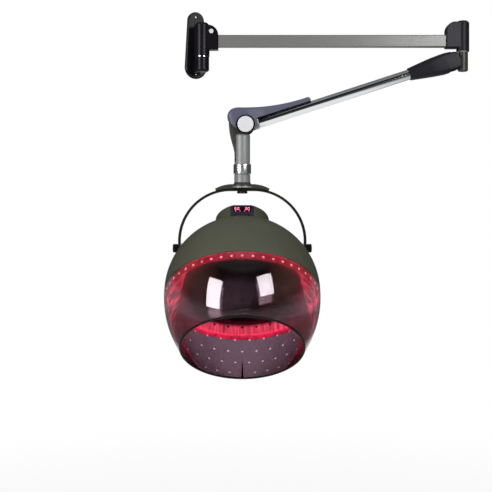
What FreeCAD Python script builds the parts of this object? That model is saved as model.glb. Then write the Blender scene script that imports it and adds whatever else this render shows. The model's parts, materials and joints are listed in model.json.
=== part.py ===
import FreeCAD, Part
import Sketcher
import math
import os
import re

# Wall-mounted hood hair dryer on a two-section balanced arm.
# Frame: origin on the wall plane, just below the middle of the wall plate, +Z up, -Y out into the room.
# The arm is posed in steps, and each step has its own frame: shoulder, elbow, lift, wrist, yoke, hood.

doc = FreeCAD.newDocument("HoodDryer")
sheet = doc.addObject("Spreadsheet::Sheet", "Sizes")

# Driving dimensions in millimetres and degrees
SIZES = {
    # rest pose
    "shoulder_yaw": 25, "arm_slope": 18, "hood_tilt": 37,
    # wall bracket
    "plate_height": 169, "plate_low_radius": 29, "plate_top_radius": 22, "plate_thick": 8,
    "plate_rise": 6, "mount_spacing": 144, "mount_hole": 6.6, "wall_standoff": 44,
    "boss_radius": 18, "boss_bottom": 66, "boss_top": 29.5, "pin_radius": 10, "web_thick": 22,
    # first arm
    "arm_reach": 652, "arm_level": 10, "arm_tall": 30, "arm_deep": 20, "arm_wall": 1.5,
    "knuckle_radius": 19, "knuckle_top": 56, "lobe_reach": 41, "lobe_low": 12, "lobe_high": 50,
    "lobe_deep": 28, "bush_wall": 2.5, "bush_long": 18, "clamp_radius": 5.5, "clamp_level": 33,
    # elbow
    "elbow_radius": 16, "elbow_low": 15.5, "elbow_top": 60.8, "elbow_lobe_reach": 44,
    "elbow_lobe_low": 8, "elbow_pin_radius": 8, "head_radius": 13, "head_low": 65, "head_top": 17,
    "lift_offset": 24, "lift_drop": 30.5, "tongue_thick": 12, "tongue_radius": 12, "lift_pin_radius": 5,
    # second arm
    "lift_reach": 545.8, "tube_radius": 12.7, "tube_wall": 1.5, "tube_drop": 6, "tube_start": 62,
    "tube_stop": 34, "fork_out": 19.2, "fork_plate": 3, "cover_half": 23, "cover_wall": 2.5,
    "cover_back": 10, "cover_end": 118, "saddle_start": 372, "wrist_fork_in": 13.4,
    "wrist_fork_out": 18, "wrist_eye": 20, "wrist_pin_radius": 6, "nose_half": 24, "nose_wall": 2.5,
    "bezel_radius": 23.5, "disc_radius": 20, "bezel_thick": 5,
    # stem
    "stem_offset": 8, "stem_radius": 19.5, "stem_top": 22.5, "stem_bottom": 98, "stem_wall": 3,
    "head_thick": 24, "ring_radius": 22, "ring_tall": 24.5, "spindle_radius": 9, "hood_drop": 308,
    # hood
    "dome_radius": 188.5, "dome_centre_drop": "=dome_radius - 54.5", "rim_drop": "=dome_centre_drop + 7",
    "shell_wall": 3, "drum_radius": 68, "drum_wall": 3, "seat_radius": "=drum_radius + 4",
    "throat_radius": "=drum_radius - 8", "boss_face": "=dome_radius - 38.5", "ear_radius": 12,
    "visor_bend": 273, "visor_wall": 2.2, "skirt_tall": 145, "mouth_drop": "=rim_drop + skirt_tall",
    "liner_gap": 10.5,
    "liner_wall": 1.6, "liner_bend": "=dome_radius - 18.5", "liner_mouth": 60, "liner_top_drop": 5,
    "mouth_gap": 0.5,
    "liner_draw": "=visor_bend - liner_gap + mouth_gap - sqrt((visor_bend - visor_wall) ^ 2 - skirt_tall ^ 2)",
    "liner_skirt": "=(skirt_tall ^ 2 + liner_draw ^ 2) / (2 * liner_draw)",
    "led_ring_in": "=dome_radius - 7.7", "led_ring_out": "=dome_radius - 5.1", "led_ring_tall": 19,
    "lamp_size": 4, "led_count": 48, "trim_proud": 0.4, "trim_tall": 2.4,
    "hole_radius": 3, "hole_pitch_deg": 12, "hole_row_pitch": 36, "hole_first_drop": 125,
    "hole_rows": 5, "holes_in_row": 15, "slit_wide": 6, "slit_tall": 62,
    # drum and what it holds
    "drum_top": 91, "facet_back": "=drum_radius - 9", "panel_wide": 57,
    "panel_tall": 38, "panel_thick": 3, "panel_level": 67, "window_wide": 46, "window_tall": 14,
    "button_radius": 3.4, "button_pitch": 11, "button_level": 56, "button_travel": 0.8,
    "motor_radius": 28, "motor_low": 44, "motor_high": 82, "shaft_radius": 3,
    "fan_radius": 50, "fan_low": 12, "fan_high": 34, "fan_blades": 9, "coil_radius": 48,
    "coil_wire": 3.2, "coil_level": 0.4, "post_radius": 3,
    # yoke
    "collar_radius": 20, "bow_half": "=boss_face + 7", "bow_high": 146, "bow_bend": 128, "bow_thick": 6,
    "bow_wide": 20, "bow_eye": 13, "saddle_half": 66, "saddle_thick": 12, "saddle_wide": 28,
    "collar_top": 185.2, "washer_thick": 3.2, "stud_radius": 4, "knob_radius": 11, "knob_long": 13,
    # clearances
    "turn_gap": 0.05, "fit_gap": 0.2, "part_gap": 0.3,
}
for row, (alias, value) in enumerate(SIZES.items(), start=1):
    sheet.set("A%d" % row, alias.replace("_", " "))
    sheet.set("B%d" % row, str(value))
    sheet.setAlias("B%d" % row, alias)
doc.recompute()

PARTS = []
WORD = re.compile(r"[a-z][a-z_0-9]*")


def tied(text):
    """An expression for another object: each size name points at the sheet."""
    return WORD.sub(lambda m: "Sizes." + m.group(0) if m.group(0) in SIZES else m.group(0), str(text))


def worth(text):
    """The number that an expression of size names gives now."""
    return float(sheet.evalExpression(str(text)))


def bind(item, prop, text):
    item.setExpression(prop, tied(text))


def part(label, item, frame):
    """Name a finished sub-part and put it in its place."""
    item.Label = label
    item.Placement = frame
    PARTS.append(item)
    return item


def spun(x, y, z, axis=(0, 0, 1), angle=0.0):
    """A frame at a point given by expressions, turned about an axis."""
    return FreeCAD.Placement(FreeCAD.Vector(worth(x), worth(y), worth(z)),
                             FreeCAD.Rotation(FreeCAD.Vector(*axis), angle))


# Primitives whose sizes and places are expressions of the sheet

def box(x0, x1, y0, y1, z0, z1):
    item = doc.addObject("Part::Box", "Block")
    for prop, low, high in (("Length", x0, x1), ("Width", y0, y1), ("Height", z0, z1)):
        bind(item, prop, f"({high}) - ({low})")
    for prop, low in (("x", x0), ("y", y0), ("z", z0)):
        bind(item, "Placement.Base." + prop, low)
    return item


ALONG = {"x": FreeCAD.Rotation(FreeCAD.Vector(0, 1, 0), 90),
         "y": FreeCAD.Rotation(FreeCAD.Vector(1, 0, 0), -90),
         "z": FreeCAD.Rotation()}


def rod(radius, x, y, z, long, along="z"):
    item = doc.addObject("Part::Cylinder", "Rod")
    bind(item, "Radius", radius)
    bind(item, "Height", long)
    item.Placement.Rotation = ALONG[along]
    for prop, low in (("x", x), ("y", y), ("z", z)):
        bind(item, "Placement.Base." + prop, low)
    return item


def ball(radius, x, y, z):
    item = doc.addObject("Part::Sphere", "Ball")
    bind(item, "Radius", radius)
    for prop, low in (("x", x), ("y", y), ("z", z)):
        bind(item, "Placement.Base." + prop, low)
    return item


def joined(*items):
    item = doc.addObject("Part::MultiFuse", "Joined")
    item.Shapes = list(items)
    item.Refine = True
    return item


def cut(base, *tools):
    item = doc.addObject("Part::Cut", "Cut")
    item.Base = base
    item.Tool = tools[0] if len(tools) == 1 else grouped(*tools)
    item.Refine = True
    return item


def common(first, second):
    item = doc.addObject("Part::Common", "Shared")
    item.Base = first
    item.Tool = second
    item.Refine = True
    return item


def grouped(*items):
    item = doc.addObject("Part::Compound", "Group")
    item.Links = list(items)
    return item


def rounded(base, radius, wanted):
    """Round the edges of a solid that a test picks."""
    doc.recompute()
    item = doc.addObject("Part::Fillet", "Rounded")
    item.Base = base
    size = worth(radius)
    item.Edges = [(n, size, size) for n, edge in enumerate(base.Shape.Edges, start=1) if wanted(edge)]
    return item


def bevelled(base, size, wanted):
    """Break the edges of a solid that a test picks at 45 degrees."""
    doc.recompute()
    item = doc.addObject("Part::Chamfer", "Bevelled")
    item.Base = base
    reach = worth(size)
    item.Edges = [(n, reach, reach) for n, edge in enumerate(base.Shape.Edges, start=1) if wanted(edge)]
    return item


# Sketched outlines: every corner is tied to the sheet

def outline(body, plane, start, steps, offset="0"):
    """A closed outline of lines and arcs. A step is (x, y) or (x, y, radius, side of the centre)."""
    sketch = body.newObject("Sketcher::SketchObject", "Outline")
    base = [item for item in body.Origin.OriginFeatures if item.Role == plane][0]
    sketch.AttachmentSupport = (base, "")
    sketch.MapMode = "FlatFace"
    bind(sketch, "AttachmentOffset.Base.z", offset)

    def pin(geometry, corner, x, y):
        for kind, axis, text in (("DistanceX", -2, x), ("DistanceY", -1, y)):
            if str(text) == "0":
                sketch.addConstraint(Sketcher.Constraint("PointOnObject", geometry, corner, axis))
            else:
                place = sketch.addConstraint(
                    Sketcher.Constraint(kind, -1, 1, geometry, corner, worth(text)))
                bind(sketch, "Constraints[%d]" % place, text)

    here = FreeCAD.Vector(worth(start[0]), worth(start[1]), 0)
    first = last = None
    for count, step in enumerate(steps, start=1):
        there = FreeCAD.Vector(worth(step[0]), worth(step[1]), 0)
        begin, end = 1, 2
        if len(step) == 2:
            geometry = sketch.addGeometry(Part.LineSegment(here, there), False)
        else:
            radius, side = worth(step[2]), step[3]
            chord = there - here
            left = FreeCAD.Vector(-chord.y, chord.x, 0).normalize()
            rise = math.sqrt(max(radius ** 2 - (chord.Length / 2) ** 2, 0))
            centre = here + chord * 0.5 + left * (rise * side)
            a0 = math.atan2(here.y - centre.y, here.x - centre.x)
            a1 = math.atan2(there.y - centre.y, there.x - centre.x)
            if side < 0:
                begin, end = 2, 1
                a0, a1 = a1, a0
            circle = Part.Circle(centre, FreeCAD.Vector(0, 0, 1), radius)
            geometry = sketch.addGeometry(Part.ArcOfCircle(circle, a0, a1), False)
        if first is None:
            first = (geometry, begin)
            pin(geometry, begin, *start)
        else:
            sketch.addConstraint(Sketcher.Constraint("Coincident", last[0], last[1], geometry, begin))
        if count == len(steps):
            sketch.addConstraint(Sketcher.Constraint("Coincident", geometry, end, first[0], first[1]))
        else:
            pin(geometry, end, step[0], step[1])
        if len(step) == 4 and rise > 1e-6:
            place = sketch.addConstraint(Sketcher.Constraint("Radius", geometry, radius))
            bind(sketch, "Constraints[%d]" % place, step[2])
        elif len(step) == 4:
            # a half circle on a level chord: its centre stays at the height of its ends
            place = sketch.addConstraint(Sketcher.Constraint("DistanceY", -1, 1, geometry, 3, here.y))
            bind(sketch, "Constraints[%d]" % place, step[1])
        last = (geometry, end)
        here = there
    return sketch


def turned(start, steps):
    """A body of revolution about its own Z axis."""
    body = doc.addObject("PartDesign::Body", "Turned")
    sketch = outline(body, "XZ_Plane", start, steps + [start])
    spin = body.newObject("PartDesign::Revolution", "Spin")
    spin.Profile = sketch
    spin.ReferenceAxis = (sketch, ["V_Axis"])
    spin.Angle = 360
    body.Tip = spin
    return body


def ring(inner, outer, low, high):
    """A plain turned ring or, with an inner radius of 0, a plain turned pin."""
    return turned((inner, low), [(outer, low), (outer, high), (inner, high)])


def slab(plane, start, steps, long, offset="0", both=False):
    """A body padded from an outline on one of its own planes."""
    body = doc.addObject("PartDesign::Body", "Slab")
    sketch = outline(body, plane, start, steps + [start], offset)
    pad = body.newObject("PartDesign::Pad", "Pad")
    pad.Profile = sketch
    bind(pad, "Length", long)
    if both:
        pad.SideType = "Symmetric"
    body.Tip = pad
    return body


# Frames of the posed arm, from the wall outwards

WALL = FreeCAD.Placement()
SHOULDER = WALL * spun("0", "-wall_standoff", "0", angle=-worth("shoulder_yaw"))
ELBOW = SHOULDER * spun("arm_reach", "0", "0", angle=180)
LIFT = ELBOW * spun("lift_offset", "0", "-lift_drop", (0, 1, 0), worth("arm_slope"))
WRIST = (LIFT * spun("lift_reach", "0", "0", (0, 1, 0), -worth("arm_slope"))
         * spun("0", "0", "0", angle=180))
YOKE = WRIST * spun("-stem_offset", "0", "-hood_drop")
HOOD = YOKE * spun("0", "0", "0", (1, 0, 0), -worth("hood_tilt"))


def wall_bracket():
    """Cast plate with a tapered outline, a web and the boss that carries the shoulder pin."""
    low = "(plate_rise - plate_height / 2 + plate_low_radius)"
    top = "(plate_rise + plate_height / 2 - plate_top_radius)"
    plate = slab("XZ_Plane", ("-plate_top_radius", top),
                 [("plate_top_radius", top, "plate_top_radius", -1),
                  ("plate_low_radius", low),
                  ("-plate_low_radius", low, "plate_low_radius", -1)], "plate_thick")
    plate = bevelled(plate, "plate_thick * 0.35",
                     lambda e: e.BoundBox.YMax < -worth("plate_thick") + 0.01)
    web = slab("YZ_Plane", ("-2", "-boss_top - 4"),
               [("-wall_standoff", "-boss_top - 4"), ("-wall_standoff", "-boss_bottom + 4"),
                ("-plate_thick - 4", "-boss_bottom - 2"), ("-2", "-boss_bottom - 2")],
               "web_thick", both=True)
    boss = rod("boss_radius", "0", "-wall_standoff", "-boss_bottom", "boss_bottom - boss_top")
    boss = bevelled(boss, "4", lambda e: e.BoundBox.ZMax < -worth("boss_bottom") + 0.01)
    holes = [rod("mount_hole / 2", "0", "-plate_thick - 20", f"plate_rise + {side} * mount_spacing / 2",
                 "plate_thick + 40", "y") for side in (-1, 1)]
    bore = rod("pin_radius + turn_gap", "0", "-wall_standoff", "-boss_bottom + 6", "boss_bottom")
    part("wall_bracket", cut(joined(plate, web, boss), bore, *holes), WALL)


def shoulder_pivot():
    part("shoulder_pin", ring("0", "pin_radius", "-boss_bottom + 6", "knuckle_top - 14"), SHOULDER)
    part("shoulder_washer", ring("pin_radius + turn_gap", "boss_radius - 0.5",
                                 "-boss_top", "-boss_top + 1.2"), SHOULDER)


def knuckle(radius, low, top, reach, lobe_low, lobe_high, pin_radius, facing, bend):
    """Cast knuckle: a capped barrel with a clasp lobe that holds the square arm tube."""
    barrel = rod(radius, "0", "0", low, f"({top}) - ({low})")
    barrel = bevelled(barrel, f"({radius}) * 0.3", lambda e: e.BoundBox.ZMin > worth(top) - 0.01)
    lobe = slab("XZ_Plane", ("0", lobe_low),
                [(f"{facing} * ({reach})", lobe_low),
                 (f"{facing} * ({reach})", f"({lobe_high}) - {bend}"),
                 (f"{facing} * (({reach}) - {bend})", lobe_high, bend, facing), ("0", lobe_high)],
                "lobe_deep", both=True)
    lobe = bevelled(lobe, "3", lambda e: abs(e.BoundBox.YMax - e.BoundBox.YMin) < 0.01
                    and e.BoundBox.XLength + e.BoundBox.ZLength > 8)
    bush = f"{pin_radius} + turn_gap + bush_wall + turn_gap"
    bore = rod(bush, "0", "0", f"({low}) - 1", f"({top}) - ({low}) - 11")
    near = f"({bush}) + 2.5"
    far = f"({reach}) + 5"
    ends = (near, far) if facing > 0 else (f"-({far})", f"-({near})")
    socket = box(*ends, "-arm_deep / 2 - fit_gap", "arm_deep / 2 + fit_gap",
                 "arm_level - arm_tall / 2 - fit_gap", "arm_level + arm_tall / 2 + fit_gap")
    return cut(joined(barrel, lobe), bore, socket)


def bushes(pin_radius, low, top):
    inner = f"{pin_radius} + turn_gap"
    outer = f"{pin_radius} + turn_gap + bush_wall"
    return grouped(ring(inner, outer, low, f"({low}) + bush_long"),
                   ring(inner, outer, f"({top}) - bush_long", top))


def first_arm():
    low = "-boss_top + 1.5"
    body = knuckle("knuckle_radius", low, "knuckle_top", "lobe_reach", "-lobe_low", "lobe_high",
                   "pin_radius", 1, "26")
    seat = rod("clamp_radius * 0.55 + fit_gap", "lobe_reach - 17", "-lobe_deep / 2 - 1",
               "clamp_level", "15", "y")
    part("shoulder_knuckle", cut(body, seat), SHOULDER)
    part("shoulder_bushes", bushes("pin_radius", low, "knuckle_top - 14"), SHOULDER)
    screw = joined(rod("clamp_radius * 0.55", "lobe_reach - 17", "-lobe_deep / 2", "clamp_level", "12", "y"),
                   rod("clamp_radius", "lobe_reach - 17", "-lobe_deep / 2 - 3", "clamp_level", "3", "y"))
    socket = rod("clamp_radius * 0.5", "lobe_reach - 17", "-lobe_deep / 2 - 4", "clamp_level", "3", "y")
    part("shoulder_clamp_screw", cut(screw, socket), SHOULDER)
    start = "pin_radius + 2 * turn_gap + bush_wall + 3"
    stop = "arm_reach - elbow_pin_radius - 2 * turn_gap - bush_wall - 3"
    whole = box(start, stop, "-arm_deep / 2", "arm_deep / 2",
                "arm_level - arm_tall / 2", "arm_level + arm_tall / 2")
    whole = rounded(whole, "2.4", lambda e: e.BoundBox.XLength > 50)
    hollow = box(f"({start}) - 1", f"({stop}) + 1", "-arm_deep / 2 + arm_wall", "arm_deep / 2 - arm_wall",
                 "arm_level - arm_tall / 2 + arm_wall", "arm_level + arm_tall / 2 - arm_wall")
    part("arm_tube", cut(whole, hollow), SHOULDER)
    elbow_frame = SHOULDER * spun("arm_reach", "0", "0")
    body = knuckle("elbow_radius", "-elbow_low", "elbow_top", "elbow_lobe_reach", "-elbow_lobe_low",
                   "elbow_top - 3", "elbow_pin_radius", -1, "24")
    part("elbow_knuckle", body, elbow_frame)
    part("elbow_bushes", bushes("elbow_pin_radius", "-elbow_low", "elbow_top - 14"), elbow_frame)


def elbow_head():
    """Swivel head under the elbow: an upright post with a tongue for the lift pin."""
    post = rod("head_radius", "0", "0", "-head_low", "head_low - head_top")
    post = bevelled(post, "2.5", lambda e: e.BoundBox.ZMax < -worth("head_low") + 0.01)
    neck = box("0", "lift_offset", "-tongue_thick / 2", "tongue_thick / 2",
               "-lift_drop - tongue_radius", "-head_top")
    eye = rod("tongue_radius", "lift_offset", "-tongue_thick / 2", "-lift_drop", "tongue_thick", "y")
    bore = rod("elbow_pin_radius + turn_gap", "0", "0", "-head_low + 8", "head_low")
    hole = rod("lift_pin_radius + turn_gap", "lift_offset", "-tongue_thick", "-lift_drop",
               "tongue_thick * 2", "y")
    part("elbow_head", cut(joined(post, neck, eye), bore, hole), ELBOW)
    part("elbow_pin", ring("0", "elbow_pin_radius", "-head_low + 8", "elbow_top - 14"), ELBOW)
    part("elbow_washer", ring("elbow_pin_radius + turn_gap", "head_radius - 0.5",
                              "-head_top", "-elbow_low - part_gap"), ELBOW)


def half(whole, side, reach):
    """One moulded half of a cover, on one side of its parting line."""
    ends = ("0", reach) if side > 0 else (f"-({reach})", "0")
    return common(whole, box("-60", "lift_reach + 60", *ends, "-80", "80"))


def lofted(stations):
    """A skin of flat strips through rounded rectangles: (x, low, high, half width, corner radius)."""
    body = doc.addObject("PartDesign::Body", "Lofted")
    sketches = []
    for x, low, high, wide, bend in stations:
        corners = []
        for side, end, up, first in ((1, high, 1, 0), (-1, high, 1, 90), (-1, low, -1, 180), (1, low, -1, 270)):
            for turn in (0, 30, 60, 90):
                angle = math.radians(first + turn)
                corners.append((f"{side} * (({wide}) - {bend}) + {bend} * {math.cos(angle):.5f}",
                                f"({end}) - {up} * {bend} + {bend} * {math.sin(angle):.5f}"))
        sketches.append(outline(body, "YZ_Plane", corners[0], corners[1:] + corners[:1], x))
    loft = body.newObject("PartDesign::AdditiveLoft", "Skin")
    loft.Profile = sketches[0]
    loft.Sections = sketches[1:]
    loft.Ruled = True
    body.Tip = loft
    return body


def rear_cover():
    """Two moulded halves round the elbow end of the lifting arm, swept down to the tube."""
    def skin(inset):
        return [("-cover_back", f"-32 + {inset}", f"11 - {inset}", f"cover_half - {inset}", "7"),
                ("22", f"-33.6 + {inset}", f"16.5 - {inset}", f"cover_half - {inset}", "8.5"),
                ("54", f"-29.6 + {inset}", f"15.4 - {inset}", f"cover_half - 1 - {inset}", "10"),
                ("cover_end", f"-tube_drop - 15.6 + {inset}", f"-tube_drop + 15.6 - {inset}",
                 f"15.6 - {inset}", "12.4")]
    outer = lofted(skin("0"))
    inner = lofted(skin("cover_wall"))
    side = "cover_half - cover_wall"
    mouth = box("-cover_back - 5", "6", f"-({side})", side, "-60", "60")
    # room for the foot of the elbow head when the arm hangs at its lowest
    relief = box("0", "lift_offset - 5", f"-({side})", side, "-60", "-22")
    bore = rod("tube_radius + part_gap", "cover_end - 30", "0", "-tube_drop", "40", "x")
    shell = cut(outer, inner, mouth, relief, bore)
    part("rear_cover_front", half(shell, 1, "cover_half + 5"), LIFT)
    part("rear_cover_back", half(shell, -1, "cover_half + 5"), LIFT)


def lift_arm():
    """Chrome tube with a fork at each end."""
    start = "tube_start"
    stop = "lift_reach - tube_stop"
    part("lift_tube", ring("tube_radius - tube_wall", "tube_radius", start, stop),
         LIFT * spun("0", "0", "-tube_drop", (0, 1, 0), 90))
    root_eye = "tongue_radius - 3"
    cheeks = []
    for side in (-1, 1):
        low = "fork_out - fork_plate" if side > 0 else "-fork_out"
        high = "fork_out" if side > 0 else "-fork_out + fork_plate"
        cheeks += [rod(root_eye, "0", low, "0", "fork_plate", "y"),
                   box("0", "tube_start - 12", low, high, "-tube_drop - 11", "tongue_radius - 9.5")]
    block = box("tube_start - 20", "tube_start - 6", "-fork_out", "fork_out",
                "-tube_drop - 11", "tongue_radius - 9.5")
    plug = rod("tube_radius - tube_wall - turn_gap", "tube_start - 7", "0", "-tube_drop", "36", "x")
    hole = rod("lift_pin_radius + turn_gap", "0", "-fork_out - 1", "0", "fork_out * 2 + 2", "y")
    part("lift_fork", cut(joined(block, plug, *cheeks), hole), LIFT)
    part("lift_pin", ring("0", "lift_pin_radius", "-fork_out", "fork_out"),
         LIFT * spun("0", "0", "0", (1, 0, 0), 90))
    gap = "(fork_out - fork_plate - tongue_thick / 2)"
    springs = [rod("tongue_radius - 1", "0", low, "0", f"{gap} - 2 * part_gap", "y")
               for low in ("tongue_thick / 2 + part_gap", "-fork_out + fork_plate + part_gap")]
    core = rod("lift_pin_radius + turn_gap + 0.5", "0", "-fork_out", "0", "fork_out * 2", "y")
    part("lift_springs", cut(grouped(*springs), core), LIFT)
    # wrist end
    end = "(lift_reach - wrist_eye - 2)"
    cheeks = []
    for side in (-1, 1):
        low = "wrist_fork_in" if side > 0 else "-wrist_fork_out"
        high = "wrist_fork_out" if side > 0 else "-wrist_fork_in"
        cheeks += [rod("wrist_eye", "lift_reach", low, "0", "wrist_fork_out - wrist_fork_in", "y"),
                   box(f"{end} - 10", "lift_reach", low, high, "-tube_drop - 12", "wrist_eye - 8")]
    block = box(f"{end} - 10", end, "-wrist_fork_out", "wrist_fork_out",
                "-tube_drop - 12", "wrist_eye - 8")
    plug = rod("tube_radius - tube_wall - turn_gap", "lift_reach - tube_stop - 34", "0", "-tube_drop",
               "34", "x")
    hole = rod("wrist_pin_radius + turn_gap", "lift_reach", "-nose_half", "0", "nose_half * 2", "y")
    part("wrist_fork", cut(joined(block, plug, *cheeks), hole), LIFT)
    part("wrist_pin", ring("0", "wrist_pin_radius", "-nose_half + nose_wall", "nose_half - nose_wall"),
         LIFT * spun("lift_reach", "0", "0", (1, 0, 0), 90))


def front_cover():
    """Saddle cover over the tube, from a thin tip to the round nose above the wrist."""
    low = "tube_radius - tube_drop + part_gap"

    def shape(inset):
        side = slab("XZ_Plane", (f"saddle_start + {inset}", f"{low} - {inset}"),
                    [(f"lift_reach + 27 + 8 * {inset}", f"{low} - {inset}"),
                     (f"lift_reach + 38 - {inset}", "26"),
                     ("lift_reach + 16", f"48 - {inset}", f"22 - {inset}", 1),
                     ("lift_reach - 14", f"40 - {inset}"),
                     (f"saddle_start + 4 + {inset}", f"18 - {inset}", "500", -1),
                     (f"saddle_start + {inset}", f"14 - {inset}")],
                    f"nose_half * 2 - 2 * {inset}", both=True)
        plan = slab("XY_Plane", ("saddle_start", f"-12.6 + {inset}"),
                    [("saddle_start + 120", f"-17 + {inset}"),
                     ("lift_reach - 12", f"-nose_half + {inset}"),
                     ("lift_reach + 45", f"-nose_half + {inset}"),
                     ("lift_reach + 45", f"nose_half - {inset}"),
                     ("lift_reach - 12", f"nose_half - {inset}"),
                     ("saddle_start + 120", f"17 - {inset}"), ("saddle_start", f"12.6 - {inset}")],
                    "120", both=True)
        return common(side, plan)
    outer = shape("0")
    cheeks = [slab("XZ_Plane", ("lift_reach - 30", low),
                   [("lift_reach - 27", "-12"), ("lift_reach + 10", "-12"), ("lift_reach + 25", "-2"),
                    ("lift_reach + 32", low)], "nose_half - wrist_fork_out - 1",
                   offset=shift) for shift in ("wrist_fork_out + 1", "-nose_half")]
    inner = shape("nose_wall")
    hole = rod("wrist_pin_radius + 1", "lift_reach", "-nose_half - 1", "0", "nose_half * 2 + 2", "y")
    part("front_cover", cut(joined(outer, *cheeks), inner, hole), LIFT)


def wrist_caps():
    """Black bezel and bright disc on the front of the wrist, plain cap on the back."""
    for label, side in (("wrist_bezel_front", 1), ("wrist_bezel_back", -1)):
        face = LIFT * spun("lift_reach", f"{side} * nose_half", "0", (1, 0, 0), -90 * side)
        bezel = turned(("0", "0"), [("bezel_radius", "0"), ("bezel_radius", "bezel_thick - 1.5"),
                                    ("bezel_radius - 1.5", "bezel_thick"),
                                    ("disc_radius + fit_gap", "bezel_thick"),
                                    ("disc_radius + fit_gap", "bezel_thick - 2"), ("0", "bezel_thick - 2")])
        part(label, bezel, face)
    face = LIFT * spun("lift_reach", "nose_half", "0", (1, 0, 0), -90)
    part("wrist_disc", turned(("0", "bezel_thick - 2"),
                              [("disc_radius", "bezel_thick - 2"), ("disc_radius", "bezel_thick - 0.6"),
                               ("disc_radius - 0.8", "bezel_thick + 0.2"), ("0", "bezel_thick + 0.6")]), face)


def stem():
    """Stem head with its flared wing, chrome bearing ring and swivel spindle."""
    wing = slab("XZ_Plane", ("-42", "7"),
                [("-40", "-17.5"), ("-34", "-44"), ("-stem_offset - stem_radius", "-67"),
                 ("-stem_offset - stem_radius", "-stem_bottom + 6"),
                 ("-stem_offset + 6", "-stem_bottom + 6"), ("-stem_offset + 6", "-24"), ("17", "-8"),
                 ("17", "8"), ("8", "17", "19", 1), ("-26", "17", "60", 1)], "head_thick", both=True)
    tube = rod("stem_radius", "-stem_offset", "0", "-stem_bottom", "stem_bottom - stem_top")
    tube = bevelled(tube, "5", lambda e: e.BoundBox.ZMin > -worth("stem_top") - 0.01)
    bore = rod("stem_radius - stem_wall", "-stem_offset", "0", "-stem_bottom - 1",
               "stem_bottom - stem_top - 20")
    hole = rod("wrist_pin_radius + turn_gap", "0", "-head_thick", "0", "head_thick * 2", "y")
    part("stem_head", cut(joined(wing, tube), bore, hole), WRIST)
    axis = WRIST * spun("-stem_offset", "0", "0")
    low = "-stem_bottom - ring_tall"
    part("stem_ring", turned(("spindle_radius + turn_gap", low),
                             [("ring_radius - 1", low), ("ring_radius", f"{low} + 1"),
                              ("ring_radius", "-stem_bottom - 1"), ("ring_radius - 1", "-stem_bottom"),
                              ("spindle_radius + turn_gap", "-stem_bottom")]), axis)
    head = "-stem_bottom + 12"
    foot = "-(hood_drop - bow_high - bow_thick / 2) + 1"
    part("swivel_spindle", turned(("0", foot),
                                  [("spindle_radius", foot), ("spindle_radius", "-stem_bottom"),
                                   ("stem_radius - stem_wall - fit_gap", "-stem_bottom"),
                                   ("stem_radius - stem_wall - fit_gap", head), ("0", head)]), axis)


def bow_path(offset):
    """Outer or inner line of the bow: up each side, round two equal bends, flat on top."""
    half_wide = f"(bow_half + {offset})"
    bend = f"(bow_bend + {offset})"
    high = f"(bow_high + {offset})"
    return half_wide, bend, high


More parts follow.
